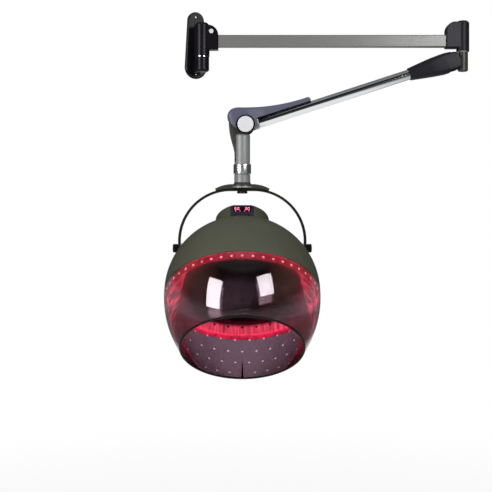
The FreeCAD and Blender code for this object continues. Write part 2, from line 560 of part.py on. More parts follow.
def yoke():
    """Flat steel bow under a cast saddle, which turns on the spindle."""
    wide_out, bend_out, high_out = bow_path("bow_thick / 2")
    wide_in, bend_in, high_in = bow_path("-bow_thick / 2")
    spring_line = "(bow_high - bow_bend)"
    steps = [(f"-{wide_out}", spring_line), (f"-({wide_out} - {bend_out})", high_out, bend_out, -1),
             (f"{wide_out} - {bend_out}", high_out), (wide_out, spring_line, bend_out, -1),
             (wide_out, "0"), (wide_in, "0"), (wide_in, spring_line),
             (f"{wide_in} - {bend_in}", high_in, bend_in, 1), (f"-({wide_in} - {bend_in})", high_in),
             (f"-{wide_in}", spring_line, bend_in, 1), (f"-{wide_in}", "0")]
    bow = slab("XZ_Plane", (f"-{wide_out}", "0"), steps, "bow_wide", both=True)
    eyes = [rod("bow_eye", low, "0", "0", "bow_thick", "x")
            for low in ("bow_half - bow_thick / 2", "-bow_half - bow_thick / 2")]
    holes = [rod("stud_radius + turn_gap", low, "0", "0", "40", "x")
             for low in ("bow_half - 20", "-bow_half - 20")]
    post = rod("spindle_radius + turn_gap", "0", "0", "bow_high - 20", "40")
    part("yoke_bow", cut(joined(bow, *eyes), post, *holes), YOKE)
    # the saddle follows the outside of the bow and rises into the collar
    reach = "saddle_half"
    wide_out, bend_out, high_out = bow_path("bow_thick / 2 + turn_gap")
    end_high = f"(sqrt({bend_out} ^ 2 - ({reach} - ({wide_out} - {bend_out})) ^ 2) + {spring_line})"
    saddle = slab("XZ_Plane", (f"-{reach}", end_high),
                  [(f"-({wide_out} - {bend_out})", high_out, bend_out, -1),
                   (f"{wide_out} - {bend_out}", high_out), (reach, end_high, bend_out, -1),
                   (f"{reach} + 2", f"{end_high} + 5"),
                   ("28", f"{high_out} + saddle_thick - 1", "90", 1),
                   ("-28", f"{high_out} + saddle_thick - 1"), (f"-{reach} - 2", f"{end_high} + 5", "90", 1)],
                  "saddle_wide", both=True)
    saddle = bevelled(saddle, "3", lambda e: abs(e.BoundBox.YMax - e.BoundBox.YMin) < 0.01
                      and e.BoundBox.ZMax > worth(high_out) + 3)
    collar = turned(("0", f"{high_out} + 2"),
                    [("collar_radius + 8", f"{high_out} + 2"),
                     ("collar_radius + 7", f"{high_out} + saddle_thick - 3"),
                     ("collar_radius", f"{high_out} + saddle_thick + 5", "9", -1),
                     ("collar_radius", "collar_top - 1.5"), ("collar_radius - 1.5", "collar_top"),
                     ("0", "collar_top")])
    bore = rod("spindle_radius + turn_gap", "0", "0", "bow_high - 10", "80")
    screw_hole = rod("2.5 + fit_gap", "0", "-collar_radius - 1", "collar_top - 12", "8", "y")
    part("yoke_saddle", cut(joined(saddle, collar), bore, screw_hole), YOKE)
    screw = cut(rod("2.5", "0", "-collar_radius + 0.6", "collar_top - 12", "6", "y"),
                rod("1.3", "0", "-collar_radius", "collar_top - 12", "2.4", "y"))
    part("collar_screw", screw, YOKE)
    nut = turned(("3.1", "bow_high - bow_thick / 2 - 6"),
                 [("13", "bow_high - bow_thick / 2 - 6"), ("13", "bow_high - bow_thick / 2 - 1.5"),
                  ("11.5", "bow_high - bow_thick / 2"), ("3.1", "bow_high - bow_thick / 2")])
    part("spindle_cap", nut, YOKE)


def tilt_pivots():
    """Friction washers and the two knobs, each with its stud."""
    inner_face = "bow_half - bow_thick / 2"
    washers = [cut(rod("ear_radius", low, "0", "0", "washer_thick", "x"),
                   rod("stud_radius + turn_gap", f"{low} - 1", "0", "0", "washer_thick + 2", "x"))
               for low in (f"{inner_face} - part_gap - washer_thick", f"-({inner_face}) + part_gap")]
    part("tilt_washers", grouped(*washers), YOKE)
    for label, side in (("tilt_knob_right", 1), ("tilt_knob_left", -1)):
        face = "bow_half + bow_thick / 2 + part_gap"
        lobes = 8
        knob = turned(("0", "boss_face - 10"),
                      [("stud_radius", "boss_face - 10"), ("stud_radius", face), ("knob_radius - 2", face),
                       ("knob_radius", f"{face} + 2"), ("knob_radius", f"{face} + knob_long - 2"),
                       ("knob_radius - 2", f"{face} + knob_long"), ("0", f"{face} + knob_long + 0.8")])
        grips = []
        for n in range(lobes):
            turn = 2 * math.pi * n / lobes
            grips.append(rod("2.4", f"(knob_radius + 1) * {math.cos(turn):.5f}",
                             f"(knob_radius + 1) * {math.sin(turn):.5f}", f"{face} - 1", "knob_long + 4"))
        part(label, cut(knob, *grips), YOKE * spun("0", "0", "0", (0, 1, 0), 90 * side))


RIM = "-rim_drop"
DOME = "-dome_centre_drop"


def dome_x(radius, level):
    """Half width of a sphere of the dome's centre at a level."""
    return f"sqrt(({radius}) ^ 2 - (({level}) + dome_centre_drop) ^ 2)"


SEAT = "(sqrt(dome_radius ^ 2 - seat_radius ^ 2) - dome_centre_drop)"


def chords(half_width, low, high, centre, radius, steps):
    """Points in equal turns on a curved wall, from low to high, to be joined by flat bands."""
    first = math.asin((worth(low) - worth(centre)) / worth(radius))
    last = math.asin((worth(high) - worth(centre)) / worth(radius))
    points = []
    for n in range(steps + 1):
        turn = first + (last - first) * n / steps
        share = (math.sin(turn) - math.sin(first)) / (math.sin(last) - math.sin(first))
        level = f"(({low}) + (({high}) - ({low})) * {share:.5f})"
        points.append((half_width(level), level))
    return points


def hood_shell():
    """Opaque dome: a spun shell of one thickness with a flat seat for the drum and two ears."""
    inner = "dome_radius - shell_wall"
    outside = chords(lambda level: dome_x("dome_radius", level), RIM, SEAT, DOME, "dome_radius", 7)
    inside = chords(lambda level: dome_x(inner, level), RIM, f"{SEAT} - shell_wall", DOME, inner, 5)
    throat = [("throat_radius", SEAT), ("throat_radius", f"{SEAT} - shell_wall")]
    shell = turned(outside[0], outside[1:] + throat + inside[::-1])
    holes = [rod("stud_radius + turn_gap", low, "0", "0", "30", "x")
             for low in ("boss_face - 26", "-boss_face - 4")]
    core = ball("dome_radius - shell_wall", "0", "0", DOME)
    ears = [cut(rod("ear_radius", low, "0", "0", "30", "x"), core)
            for low in ("boss_face - 30", "-boss_face")]
    part("hood_shell", cut(joined(shell, *ears), *holes), HOOD)


def flared(side, bend, inset, level):
    """Half width of a lower wall: side at the rim, drawn in below it about the rim's level."""
    return f"({side} - {bend} + sqrt(({bend} - {inset}) ^ 2 - (({level}) + rim_drop) ^ 2))"


def visor_x(inset, level):
    return flared("dome_radius", "visor_bend", inset, level)


def liner_x(inset, level):
    return flared("dome_radius - liner_gap", "liner_skirt", inset, level)


def visor():
    """Clear smoked outer wall below the dome, in line with its outside."""
    top = f"{RIM} - part_gap"
    low = "-mouth_drop"
    outside, inside = [chords(lambda level: visor_x(inset, level), low, top, RIM, "visor_bend", 4)
                       for inset in ("0", "visor_wall")]
    part("visor", turned(outside[0], outside[1:] + inside[::-1]), HOOD)


def liner():
    """Clear perforated inner bowl: rows of staggered air holes and one slit at the back."""
    low = "-mouth_drop"
    top = "-liner_top_drop"
    side = "(dome_radius - liner_gap - liner_bend)"
    crown = f"({top} - sqrt(liner_bend ^ 2 - (liner_mouth - {side}) ^ 2))"

    def wall(inset):
        """Points of one face of the bowl: drawn in below the rim, domed above it."""
        skirt = chords(lambda level: liner_x(inset, level), low, RIM, RIM, "liner_skirt", 4)
        bend = f"(liner_bend - {inset})"
        bowl = chords(lambda level: f"({side} + sqrt({bend} ^ 2 - (({level}) - {crown}) ^ 2))",
                      RIM, f"{top} - {inset}", crown, bend, 5)
        return skirt + bowl[1:]
    outside, inside = wall("0"), wall("liner_wall")
    bowl = turned(outside[0], outside[1:] + inside[::-1])
    drills = []
    for row in range(int(worth("hole_rows"))):
        level = f"(-hole_first_drop - {row} * hole_row_pitch)"
        for place in range(int(worth("holes_in_row"))):
            step = place - (int(worth("holes_in_row")) - 1) / 2 + (0.5 if row % 2 else 0)
            drill = doc.addObject("Part::Prism", "Drill")
            drill.Polygon = 6
            bind(drill, "Circumradius", "hole_radius")
            bind(drill, "Height", "dome_radius")
            turn = FreeCAD.Rotation(FreeCAD.Vector(0, 0, 1), step * worth("hole_pitch_deg"))
            drill.Placement.Rotation = turn * ALONG["y"]
            bind(drill, "Placement.Base.z", level)
            drills.append(drill)
    slit = slab("XZ_Plane", ("-slit_wide / 2", "-mouth_drop - 1"),
                [("slit_wide / 2", "-mouth_drop - 1"), ("0.3", "-mouth_drop + slit_tall"),
                 ("-0.3", "-mouth_drop + slit_tall")], "60", offset="-dome_radius - 5")
    part("perforated_liner", cut(bowl, slit, *drills), HOOD)
    # one thin moulding closes the edges of both walls
    edge_out = f"({visor_x('0', low)} + trim_proud)"
    edge_in = f"({liner_x('liner_wall', low)} - trim_proud)"
    trim_low = f"({low} - trim_tall)"
    trim = turned((edge_in, low), [(edge_in, f"{trim_low} + 0.8"), (f"{edge_in} + 0.8", trim_low),
                                   (f"{edge_out} - 0.8", trim_low), (edge_out, f"{trim_low} + 0.8"),
                                   (edge_out, low)])
    part("mouth_trim", trim, HOOD)


def lamps():
    """Red light ring under the dome's rim, with a row of small lamps on its face."""
    high = f"{RIM} - part_gap - 0.5"
    low = f"({high}) - led_ring_tall"
    part("light_ring", turned(("led_ring_in", low),
                              [("led_ring_out", low), ("led_ring_out", high), ("led_ring_in", high)]), HOOD)
    bulbs = []
    count = int(worth("led_count"))
    for n in range(count):
        middle = f"({high}) - led_ring_tall / 2"
        bulb = slab("YZ_Plane", ("-lamp_size / 2", f"{middle} - lamp_size / 2"),
                    [("lamp_size / 2", f"{middle} - lamp_size / 2"),
                     ("lamp_size / 2", f"{middle} + lamp_size / 2"),
                     ("-lamp_size / 2", f"{middle} + lamp_size / 2")], "1.6", offset="led_ring_out + turn_gap")
        bulb.Placement = spun("0", "0", "0", angle=360.0 * n / count)
        bulbs.append(bulb)
    part("ring_lamps", grouped(*bulbs), HOOD)


def drum():
    """Fan housing on top of the dome, with a flat front for the control panel."""
    facet = "-facet_back"
    body = rod("drum_radius", "0", "0", SEAT, f"drum_top - {SEAT}")
    body = cut(body, box("-80", "80", "-80", facet, f"{SEAT} - 1", "drum_top + 1"))
    body = bevelled(body, "5", lambda e: e.BoundBox.ZMin > worth("drum_top") - 0.01
                    and e.BoundBox.XLength > 100)
    room = rod("drum_radius - drum_wall", "0", "0", f"{SEAT} - 1", f"drum_top - {SEAT} - drum_wall + 1")
    room = cut(room, box("-80", "80", "-80", f"{facet} + drum_wall", f"{SEAT} - 2", "drum_top + 1"))
    slots = [box(f"{n} * 9 - 2", f"{n} * 9 + 2", f"-sqrt(42 ^ 2 - ({n} * 9) ^ 2)",
                 f"sqrt(42 ^ 2 - ({n} * 9) ^ 2)", "drum_top - drum_wall - 1", "drum_top + 1")
             for n in range(-4, 5)]
    pocket = box("-panel_wide / 2 + 4", "panel_wide / 2 - 4", f"{facet} - 1", f"{facet} + drum_wall + 1",
                 "panel_level - panel_tall / 2 + 4", "panel_level + panel_tall / 2 - 4")
    part("drum_housing", cut(body, room, pocket, *slots), HOOD)
    face = f"({facet} - panel_thick)"
    panel = box("-panel_wide / 2", "panel_wide / 2", face, facet,
                "panel_level - panel_tall / 2", "panel_level + panel_tall / 2")
    panel = rounded(panel, "3", lambda e: abs(e.BoundBox.YLength - worth("panel_thick")) < 0.01)
    window_low = "panel_level + panel_tall / 2 - window_tall - 4"
    window_hole = box("-window_wide / 2", "window_wide / 2", f"{face} - 1", f"{face} + 1.5",
                      window_low, f"{window_low} + window_tall")
    columns = [f"{n} * button_pitch" for n in (-1.5, -0.5, 0.5, 1.5)]
    drills = [rod("button_radius + turn_gap * 2", x, f"{face} - 1", "button_level", "panel_thick + 2", "y")
              for x in columns]
    part("control_panel", cut(panel, window_hole, *drills), HOOD)
    window = box("-window_wide / 2 + fit_gap", "window_wide / 2 - fit_gap", f"{face} + 0.1", f"{face} + 1.5",
                 f"{window_low} + fit_gap", f"{window_low} + window_tall - fit_gap")
    part("display_window", grouped(window), HOOD)
    board = box("-panel_wide / 2 + 6", "panel_wide / 2 - 6", f"{facet} + button_travel + turn_gap",
                f"{facet} + button_travel + 1.6",
                "panel_level - panel_tall / 2 + 6", "panel_level + panel_tall / 2 - 6")
    part("control_board", grouped(board), HOOD)
    for n, x in enumerate(columns, start=1):
        cap = turned(("0", "0"), [("button_radius", "0"), ("button_radius", "panel_thick - 0.2"),
                                  ("button_radius - 0.6", "panel_thick + 0.6"), ("0", "panel_thick + 0.8")])
        part("button_%d" % n, cap, HOOD * spun(x, facet, "button_level", (1, 0, 0), 90))


def blower():
    """Motor on its spider, fan, heater and the posts that hold the liner."""
    motor = turned(("0", "motor_low"),
                   [("motor_radius", "motor_low"), ("motor_radius", "motor_high - 3"),
                    ("motor_radius - 3", "motor_high"), ("0", "motor_high")])
    part("motor", motor, HOOD)
    plate = rod("motor_radius", "0", "0", SEAT, f"motor_low - {SEAT}")
    spokes = []
    spoke_end = "drum_radius - drum_wall - 1"
    for n in range(3):
        spoke = slab("XY_Plane", ("0", "-6"), [(spoke_end, "-6"), (spoke_end, "6"), ("0", "6")],
                     f"motor_low - {SEAT}", offset=SEAT)
        spoke.Placement = spun("0", "0", "0", angle=120 * n + 90)
        spokes.append(spoke)
    shaft_hole = rod("shaft_radius + 1", "0", "0", f"{SEAT} - 5", "20")
    part("motor_spider", cut(joined(plate, *spokes), shaft_hole), HOOD)
    hub = turned(("0", "fan_low"), [("10", "fan_low"), ("10", "fan_high"), ("shaft_radius", "fan_high"),
                                    ("shaft_radius", "motor_low - part_gap"), ("0", "motor_low - part_gap")])
    disc = ring("0", "fan_radius", "fan_low", "fan_low + 2")
    blades = []
    count = int(worth("fan_blades"))
    for n in range(count):
        blade = slab("XY_Plane", ("8", "-1"), [("fan_radius - 1", "-9", "70", -1), ("fan_radius - 0.5", "-7"),
                                                ("8", "1", "70", 1)],
                     "fan_high - fan_low - 2", offset="fan_low + 1.5")
        blade.Placement = spun("0", "0", "0", angle=360.0 * n / count)
        blades.append(blade)
    part("fan", joined(hub, disc, *blades), HOOD)
    part("heater_element", ring("coil_radius - coil_wire", "coil_radius + coil_wire",
                                "coil_level - coil_wire", "coil_level + coil_wire"), HOOD)
    frame_low = "-liner_top_drop"
    frame = joined(ring("liner_mouth - 2", "liner_mouth + 8", frame_low, f"{frame_low} + 2"),
                   box("-liner_mouth + 1", "liner_mouth - 1", "-4", "4", frame_low, f"{frame_low} + 2"),
                   box("-4", "4", "-liner_mouth + 1", "liner_mouth - 1", frame_low, f"{frame_low} + 2"))
    part("heater_frame", frame, HOOD)
    posts = []
    for n in range(4):
        turn = math.radians(45 + 90 * n)
        posts.append(rod("post_radius", f"(liner_mouth + 4) * {math.cos(turn):.5f}",
                         f"(liner_mouth + 4) * {math.sin(turn):.5f}", f"{frame_low} + 2",
                         f"{SEAT} - shell_wall - ({frame_low}) - 2"))
    part("liner_posts", grouped(*posts), HOOD)
    part("thermostat", ring("0", "7", f"{frame_low} + 2", f"{frame_low} + 7"), HOOD)


wall_bracket()
shoulder_pivot()
first_arm()
elbow_head()
rear_cover()
lift_arm()
front_cover()
wrist_caps()
stem()
yoke()
tilt_pivots()
hood_shell()
visor()
liner()
lamps()
drum()
blower()

doc.recompute()

faults = [item.Label for item in doc.Objects if "Invalid" in item.State or "Error" in item.State]
faults += [item.Label for item in PARTS if item.Shape.isNull() or not item.Shape.isValid()]
if faults:
    raise SystemExit("failed: " + ", ".join(faults))

os.makedirs("parts", exist_ok=True)
for item in PARTS:
    item.Shape.exportStep("parts/%s.step" % item.Label)
    print(item.Label, len(item.Shape.Solids), round(item.Shape.Volume))
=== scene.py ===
# %% [markdown]
# # A hood hair dryer on a jointed wall arm
# The CAD model gives every piece its place. Blender gives the finer forms and the finishes: satin
# mouldings, chrome, smoked acrylic, and a red light ring that glows behind the visor.

# %% Load the CAD frame
import json
import math

import bpy
from mathutils import Matrix, Vector


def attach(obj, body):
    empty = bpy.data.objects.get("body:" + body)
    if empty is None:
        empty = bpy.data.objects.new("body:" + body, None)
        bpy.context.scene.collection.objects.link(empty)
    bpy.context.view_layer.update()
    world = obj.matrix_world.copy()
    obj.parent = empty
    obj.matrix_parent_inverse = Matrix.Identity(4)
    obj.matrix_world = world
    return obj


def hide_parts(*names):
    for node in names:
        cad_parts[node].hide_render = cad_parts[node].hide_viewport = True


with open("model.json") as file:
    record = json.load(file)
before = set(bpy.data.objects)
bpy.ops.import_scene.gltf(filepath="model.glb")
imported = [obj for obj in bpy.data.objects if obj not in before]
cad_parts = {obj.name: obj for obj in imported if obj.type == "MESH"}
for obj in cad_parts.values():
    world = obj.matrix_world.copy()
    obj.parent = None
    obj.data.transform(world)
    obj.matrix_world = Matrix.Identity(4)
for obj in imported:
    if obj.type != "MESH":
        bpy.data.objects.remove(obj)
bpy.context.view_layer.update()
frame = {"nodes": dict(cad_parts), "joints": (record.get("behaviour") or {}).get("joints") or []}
nodes = frame["nodes"]

# %% [markdown]
# ## Frames to draw in
# The hood is tilted, so drawing it in world axes would be hard. Each moving part gets a matrix: its
# own upright frame, in which a dome is a plain shape turned about Z. The arm lies 25 degrees off the
# wall, and the hood leans back 37 degrees on the tilt pivot that the CAD joint names.

# %% The arm's and the hood's frames
MM = 0.001
ARM_TURN, ARM_SLOPE, HOOD_LEAN = -25, 18, -37
joint = {entry["name"]: entry for entry in frame["joints"]}
YAW = Matrix.Rotation(math.radians(ARM_TURN), 4, "Z")
HALF_TURN = Matrix.Rotation(math.pi, 4, "Z")
SLOPE = Matrix.Rotation(math.radians(ARM_SLOPE), 4, "Y")
LEAN = Matrix.Rotation(math.radians(HOOD_LEAN), 4, "X")


def at(joint_name):
    """The place of a CAD joint's axis, as a matrix."""
    return Matrix.Translation(Vector(joint[joint_name]["pos_m"]))


LIFT = at("arm_lift") @ YAW @ HALF_TURN @ SLOPE
WRIST = at("wrist_tilt") @ YAW
YOKE = at("hood_tilt") @ YAW
HOOD = YOKE @ LEAN
print("hood axis points", [round(v, 3) for v in HOOD.to_3x3() @ Vector((0, 0, 1))])

# %% [markdown]
# ## The camera
# The picture is taken square to the arm, from about 2.5 m, with a long lens and the camera level.
# A level camera keeps uprights upright. The small shift slides the picture on the sensor, as a
# view camera does, so that nothing has to be tilted.

# %% Camera
VIEW_FROM = (-0.9650, -2.3524, -0.4414)
LENS_MM, SENSOR_MM = 73.17, 36
SHIFT_X, SHIFT_Y = 0.0075, -0.0488
camera_data = bpy.data.cameras.new("camera")
camera_data.lens, camera_data.sensor_width = LENS_MM, SENSOR_MM
camera_data.shift_x, camera_data.shift_y = SHIFT_X, SHIFT_Y
camera = bpy.data.objects.new("camera", camera_data)
camera.location = VIEW_FROM
camera.rotation_euler = (math.radians(90), 0, math.radians(ARM_TURN))
bpy.context.collection.objects.link(camera)
bpy.context.scene.camera = camera
bpy.context.scene.view_settings.view_transform = "Standard"
print("camera looks along", [round(v, 3) for v in camera.rotation_euler.to_matrix() @ Vector((0, 0, -1))])

# %% [markdown]
# ## Colour and nodes
# Colours are written as a designer reads them off a swatch, in sRGB hex. Shaders work in linear
# light, so one function converts. Another adds any shader node with its settings and links, which
# keeps each material to a few readable lines. The rest empty a tree and start and link a shader.

# %% Helpers for materials
OLIVE = "#424338"
SMOOTH = {"interpolation_type": "SMOOTHSTEP"}


def linear(swatch):
    """An sRGB hex swatch as a linear colour."""
    parts = [int(swatch[n:n + 2], 16) / 255 for n in (1, 3, 5)]
    return [p / 12.92 if p <= 0.04045 else ((p + 0.055) / 1.055) ** 2.4 for p in parts] + [1.0]


def add(tree, kind, inputs=None, **settings):
    """Add a shader node; an input is a number, a colour, another node or one of its outputs."""
    node = tree.nodes.new("ShaderNode" + kind)
    for name, value in settings.items():
        setattr(node, name, value)
    for name, value in (inputs or {}).items():
        if isinstance(value, bpy.types.Node):
            value = value.outputs[0]
        if isinstance(value, bpy.types.NodeSocket):
            tree.links.new(value, node.inputs[name])
        else:
            node.inputs[name].default_value = value
    return node


def empty_tree(owner):
    """The node tree of a material or a world, with nothing in it."""
    owner.use_nodes = True
    owner.node_tree.nodes.clear()
    return owner.node_tree


def material(name, **shader_values):
    """A material with one shader, its constant values set on the shader itself."""
    made = bpy.data.materials.new(name)
    tree = empty_tree(made)
    shader = add(tree, "BsdfPrincipled", {key.replace("_", " "): v for key, v in shader_values.items()})
    add(tree, "OutputMaterial", {"Surface": shader})
    return made, tree, shader


def feed(shader, **sources):
    """Link nodes to the named inputs of a shader."""
    for name, source in sources.items():
        shader.id_data.links.new(source.outputs[0], shader.inputs[name.replace("_", " ")])


print("olive grey in linear light:", [round(v, 3) for v in linear(OLIVE)])

# %% [markdown]
# ## Moulded, cast and painted finishes
# A mould or a casting leaves a fine grain, and a paint film a faint orange peel. Both are small
# bumps in noise. The real grain is about 0.2 mm, too fine for this picture, so it is drawn at
# 0.6 to 3 mm. A second, much larger noise shifts the colour a little, as resin and paint do.

# %% A grained surface
PATCH_MM, WEAR = 60, 0.05


def grained(name, swatch, other, rough, grain_mm, height_mm, shine=0.5, metal=0.0):
    """A satin surface: two near colours in soft patches and a fine grain."""
    made, tree, shader = material(name, Metallic=metal, Specular_IOR_Level=shine)
    place = add(tree, "TexCoord").outputs["Object"]
    patches = add(tree, "TexNoise", {"Vector": place, "Scale": 1 / (PATCH_MM * MM), "Detail": 3.0})
    tone = add(tree, "MixRGB", {"Fac": patches, "Color1": linear(swatch), "Color2": linear(other)})
    grain = add(tree, "TexNoise", {"Vector": place, "Scale": 1 / (grain_mm * MM), "Detail": 2.0})
    worn = add(tree, "MapRange", {"Value": patches, "To Min": rough - WEAR, "To Max": rough + WEAR})
    bump = add(tree, "Bump", {"Height": grain, "Strength": 0.5, "Distance": height_mm * MM})
    feed(shader, Base_Color=tone, Roughness=worn, Normal=bump)
    return made


olive_abs = grained("moulded_abs_olive", OLIVE, "#3B3C30", 0.42, 0.9, 0.006, shine=0.28)
navy_abs = grained("moulded_abs_navy", "#1B1B22", "#15151B", 0.34, 0.9, 0.006, shine=0.1)
blue_grey_abs = grained("moulded_abs_blue_grey", "#4D4F5F", "#464857", 0.34, 0.9, 0.003, shine=0.25)
black_abs = grained("moulded_abs_black", "#0C0C0F", "#08080A", 0.28, 0.8, 0.006, shine=0.2)
black_coat = grained("powder_coated_casting", "#110F14", "#0C0A0F", 0.3, 1.4, 0.008, shine=0.12)
arm_paint = grained("painted_steel_tube", "#696A68", "#616260", 0.34, 1.6, 0.008, metal=0.15)
grey_cast = grained("lacquered_aluminium_casting", "#7C7D7D", "#727373", 0.42, 1.2, 0.004, metal=0.2)
dark_cast = grained("dark_casting_finish", "#32332D", "#2A2B26", 0.36, 1.2, 0.005, shine=0.3)
bow_steel = grained("black_painted_spring_steel", "#1C1C16", "#151510", 0.3, 1.2, 0.006, shine=0.25)
rubber = grained("extruded_rubber_trim", "#0A0708", "#060405", 0.5, 0.7, 0.02, shine=0.1)
nylon = grained("turned_nylon", "#C9C6BC", "#BDB9AE", 0.45, 0.8, 0.01)
bright_zinc = grained("bright_zinc_plate", "#E2E2E4", "#D2D2D6", 0.3, 1.0, 0.01, metal=0.35)
# Near black: partly the dull drilled edge, partly painted shade round the holes.
drilled_edge_and_shade = grained("drilled_edge_with_painted_shade", "#1E1118", "#160C12", 0.5, 0.6, 0.01, shine=0.2)
print("thirteen grained finishes, from", olive_abs.name, "to", drilled_edge_and_shade.name)

# %% [markdown]
# ## Metals
# Chrome plate is a mirror with almost no colour; faint stains in its roughness keep it from
# looking computed. The ring under the stem is satin chrome, whose mirror is blurred. Turned steel
# keeps fine rings from the tool, so its noise is stretched. Bronze for the bushes is the same
# metal shader in a warm tint.

# %% Chrome, turned steel and bronze
HAZE_LOW, HAZE_HIGH = 0.8, 1.3


def metal(name, swatch, rough, stretch, scale_mm, height_mm):
    """A bare metal with fine tool marks along one axis."""
    made, tree, shader = material(name, Metallic=1.0, Base_Color=linear(swatch))
    place = add(tree, "TexCoord").outputs["Object"]
    drawn = add(tree, "Mapping", {"Vector": place, "Scale": stretch})
    marks = add(tree, "TexNoise", {"Vector": drawn, "Scale": 1 / (scale_mm * MM), "Detail": 3.0})
    haze = add(tree, "MapRange", {"Value": marks, "To Min": rough * HAZE_LOW, "To Max": rough * HAZE_HIGH})
    bump = add(tree, "Bump", {"Height": marks, "Strength": 0.3, "Distance": height_mm * MM})
    feed(shader, Roughness=haze, Normal=bump)
    return made


chrome = metal("chrome_plated_steel", "#E2E4E6", 0.07, (1, 1, 1), 40, 0.01)
satin_chrome = metal("satin_chrome_plate", "#E2E4E6", 0.24, (1, 1, 1), 40, 0.01)
turned_steel = metal("turned_steel", "#9A9B9C", 0.28, (1, 1, 6), 2, 0.01)
zinc_steel = metal("zinc_plated_steel", "#A9A9A4", 0.35, (1, 1, 1), 3, 0.02)
bronze = metal("sintered_bronze", "#9C7442", 0.4, (1, 1, 1), 1, 0.03)
nichrome = metal("oxidised_nichrome", "#5A4A40", 0.5, (1, 1, 4), 2, 0.03)
print("six metals, chrome first:", chrome.name)

# %% [markdown]
# ## Smoked acrylic
# The outer visor is blow moulded clear acrylic with a smoke tint. Light goes through it twice to
# reach the eye, so the tint is set per wall, and it deepens where the wall is seen at a slant,
# because the way through it is longer there. Acrylic bends light by 1.49. The gloss is left almost
# perfect, because the two studio lamps show in it as crisp white squares.

# %% Visor acrylic
ACRYLIC_IOR = 1.49
TINT, SLANT_TINT = "#DECCD6", "#A06674"
smoked, tree, shader = material("smoked_acrylic", Roughness=0.02, IOR=ACRYLIC_IOR, Transmission_Weight=1.0)
slant = add(tree, "LayerWeight", {"Blend": 0.5})
long_way = add(tree, "MapRange", {"Value": slant.outputs["Facing"], "From Min": 0.4, "From Max": 0.85})
tint = add(tree, "MixRGB", {"Fac": long_way, "Color1": linear(TINT), "Color2": linear(SLANT_TINT)})
place = add(tree, "TexCoord").outputs["Object"]
flow = add(tree, "TexNoise", {"Vector": place, "Scale": 6.0, "Detail": 1.0})
flow_bump = add(tree, "Bump", {"Height": flow, "Strength": 0.04, "Distance": 1 * MM})
feed(shader, Base_Color=tint, Normal=flow_bump)
print("visor tint per wall", TINT, "and at a slant", SLANT_TINT)

# %% [markdown]
# ## Ribbed liner acrylic
# The inner bowl carries fine upright ribs, 4.7 mm apart, that smear each lamp into a streak. They
# are a sine of the angle round the hood's axis, used as a bump. Only the crests of the sine count,
# so each rib is a narrow ridge. Seen at a slant, this wall too turns darker.

# %% Liner acrylic
RIM, RIB_COUNT, RIB_HIGH = 141.0, 240, 0.35 * MM
# The emission colour is the ring's red light, painted on the bowl; its strength is set in the next cell.
ribbed, tree, shader = material("ribbed_acrylic_painted_ring_light", Roughness=0.06, IOR=ACRYLIC_IOR,
                                Transmission_Weight=1.0, Specular_IOR_Level=0.3,
                                Emission_Color=linear("#D83E58"))
place = add(tree, "TexCoord").outputs["Object"]
upright = add(tree, "Mapping", {
    "Vector": place, "Location": HOOD.translation, "Rotation": HOOD.to_euler()}, vector_type="TEXTURE")
hood_x, hood_y, hood_z = add(tree, "SeparateXYZ", {"Vector": upright}).outputs
angle = add(tree, "Math", {0: hood_y, 1: hood_x}, operation="ARCTAN2")
turns = add(tree, "Math", {0: angle, 1: float(RIB_COUNT)}, operation="MULTIPLY")
waves = add(tree, "Math", {0: turns}, operation="SINE")
ribs = add(tree, "MapRange", {"Value": waves, "From Min": 0.55}, **SMOOTH)
rib_bump = add(tree, "Bump", {"Height": ribs, "Strength": 0.6, "Distance": RIB_HIGH})
slant = add(tree, "LayerWeight", {"Blend": 0.5})
hidden = add(tree, "MapRange", {"Value": slant.outputs["Facing"], "From Min": 0.38, "From Max": 0.68})
tint = add(tree, "MixRGB", {"Fac": hidden, "Color1": linear("#85707C"), "Color2": linear("#200A0E")})
feed(shader, Base_Color=tint, Normal=rib_bump)
print("ribs round the bowl:", RIB_COUNT)

# %% [markdown]
# ## The ring's light on the liner, painted as glow
# The light that the ring throws on the bowl near the rim is painted: an emission drawn in the hood's
# own frame, so that it stays on the piece from every side. In front and behind it keeps close to the
# rim and breaks into upright streaks. At the sides it is dim just under the ring, reaches lower and
# breaks into level streaks. The streaks are painted reflections of the lamps in the ribs: noise on
# the unrolled wall, stretched one way or the other.

# %% Liner glow: painted ring light
GLOW_LEVEL, SIDE_LEAST_LIGHT = -RIM * MM + 6 * MM, 0.1
SIDE_START, SIDE_FULL = 120 * MM, 162 * MM
FRONT_DEPTH, SIDE_DEPTH = 0.018, 0.145
UPRIGHT, LEVEL = (22, 14, 1), (3.5, 95, 1)
side = add(tree, "Math", {0: hood_x}, operation="ABSOLUTE")
sideways = add(tree, "MapRange", {"Value": side, "From Min": SIDE_START, "From Max": SIDE_FULL}, **SMOOTH)
depth = add(tree, "MapRange", {"Value": sideways, "To Min": FRONT_DEPTH, "To Max": SIDE_DEPTH})
below = add(tree, "Math", {0: hood_z, 1: GLOW_LEVEL}, operation="SUBTRACT")
away = add(tree, "Math", {0: below}, operation="ABSOLUTE")
share = add(tree, "Math", {0: away, 1: depth}, operation="DIVIDE")
fall = add(tree, "MapRange", {"Value": share, "From Min": 0.4, "To Min": 1.0, "To Max": 0.0}, **SMOOTH)
wall_place = add(tree, "CombineXYZ", {"X": angle, "Y": hood_z})
streaks = []
for stretch in (UPRIGHT, LEVEL):
    stretched = add(tree, "Mapping", {"Vector": wall_place, "Scale": stretch})
    streaks.append(add(tree, "TexNoise", {"Vector": stretched, "Scale": 1.0, "Detail": 2.0}))
far_light = add(tree, "MapRange", {
    "Value": streaks[0], "From Min": 0.35, "From Max": 0.7, "To Min": 0.3, "To Max": 1.05})
side_light = add(tree, "MapRange", {
    "Value": streaks[1], "From Min": 0.46, "From Max": 0.64, "To Min": 0.2, "To Max": 1.5})
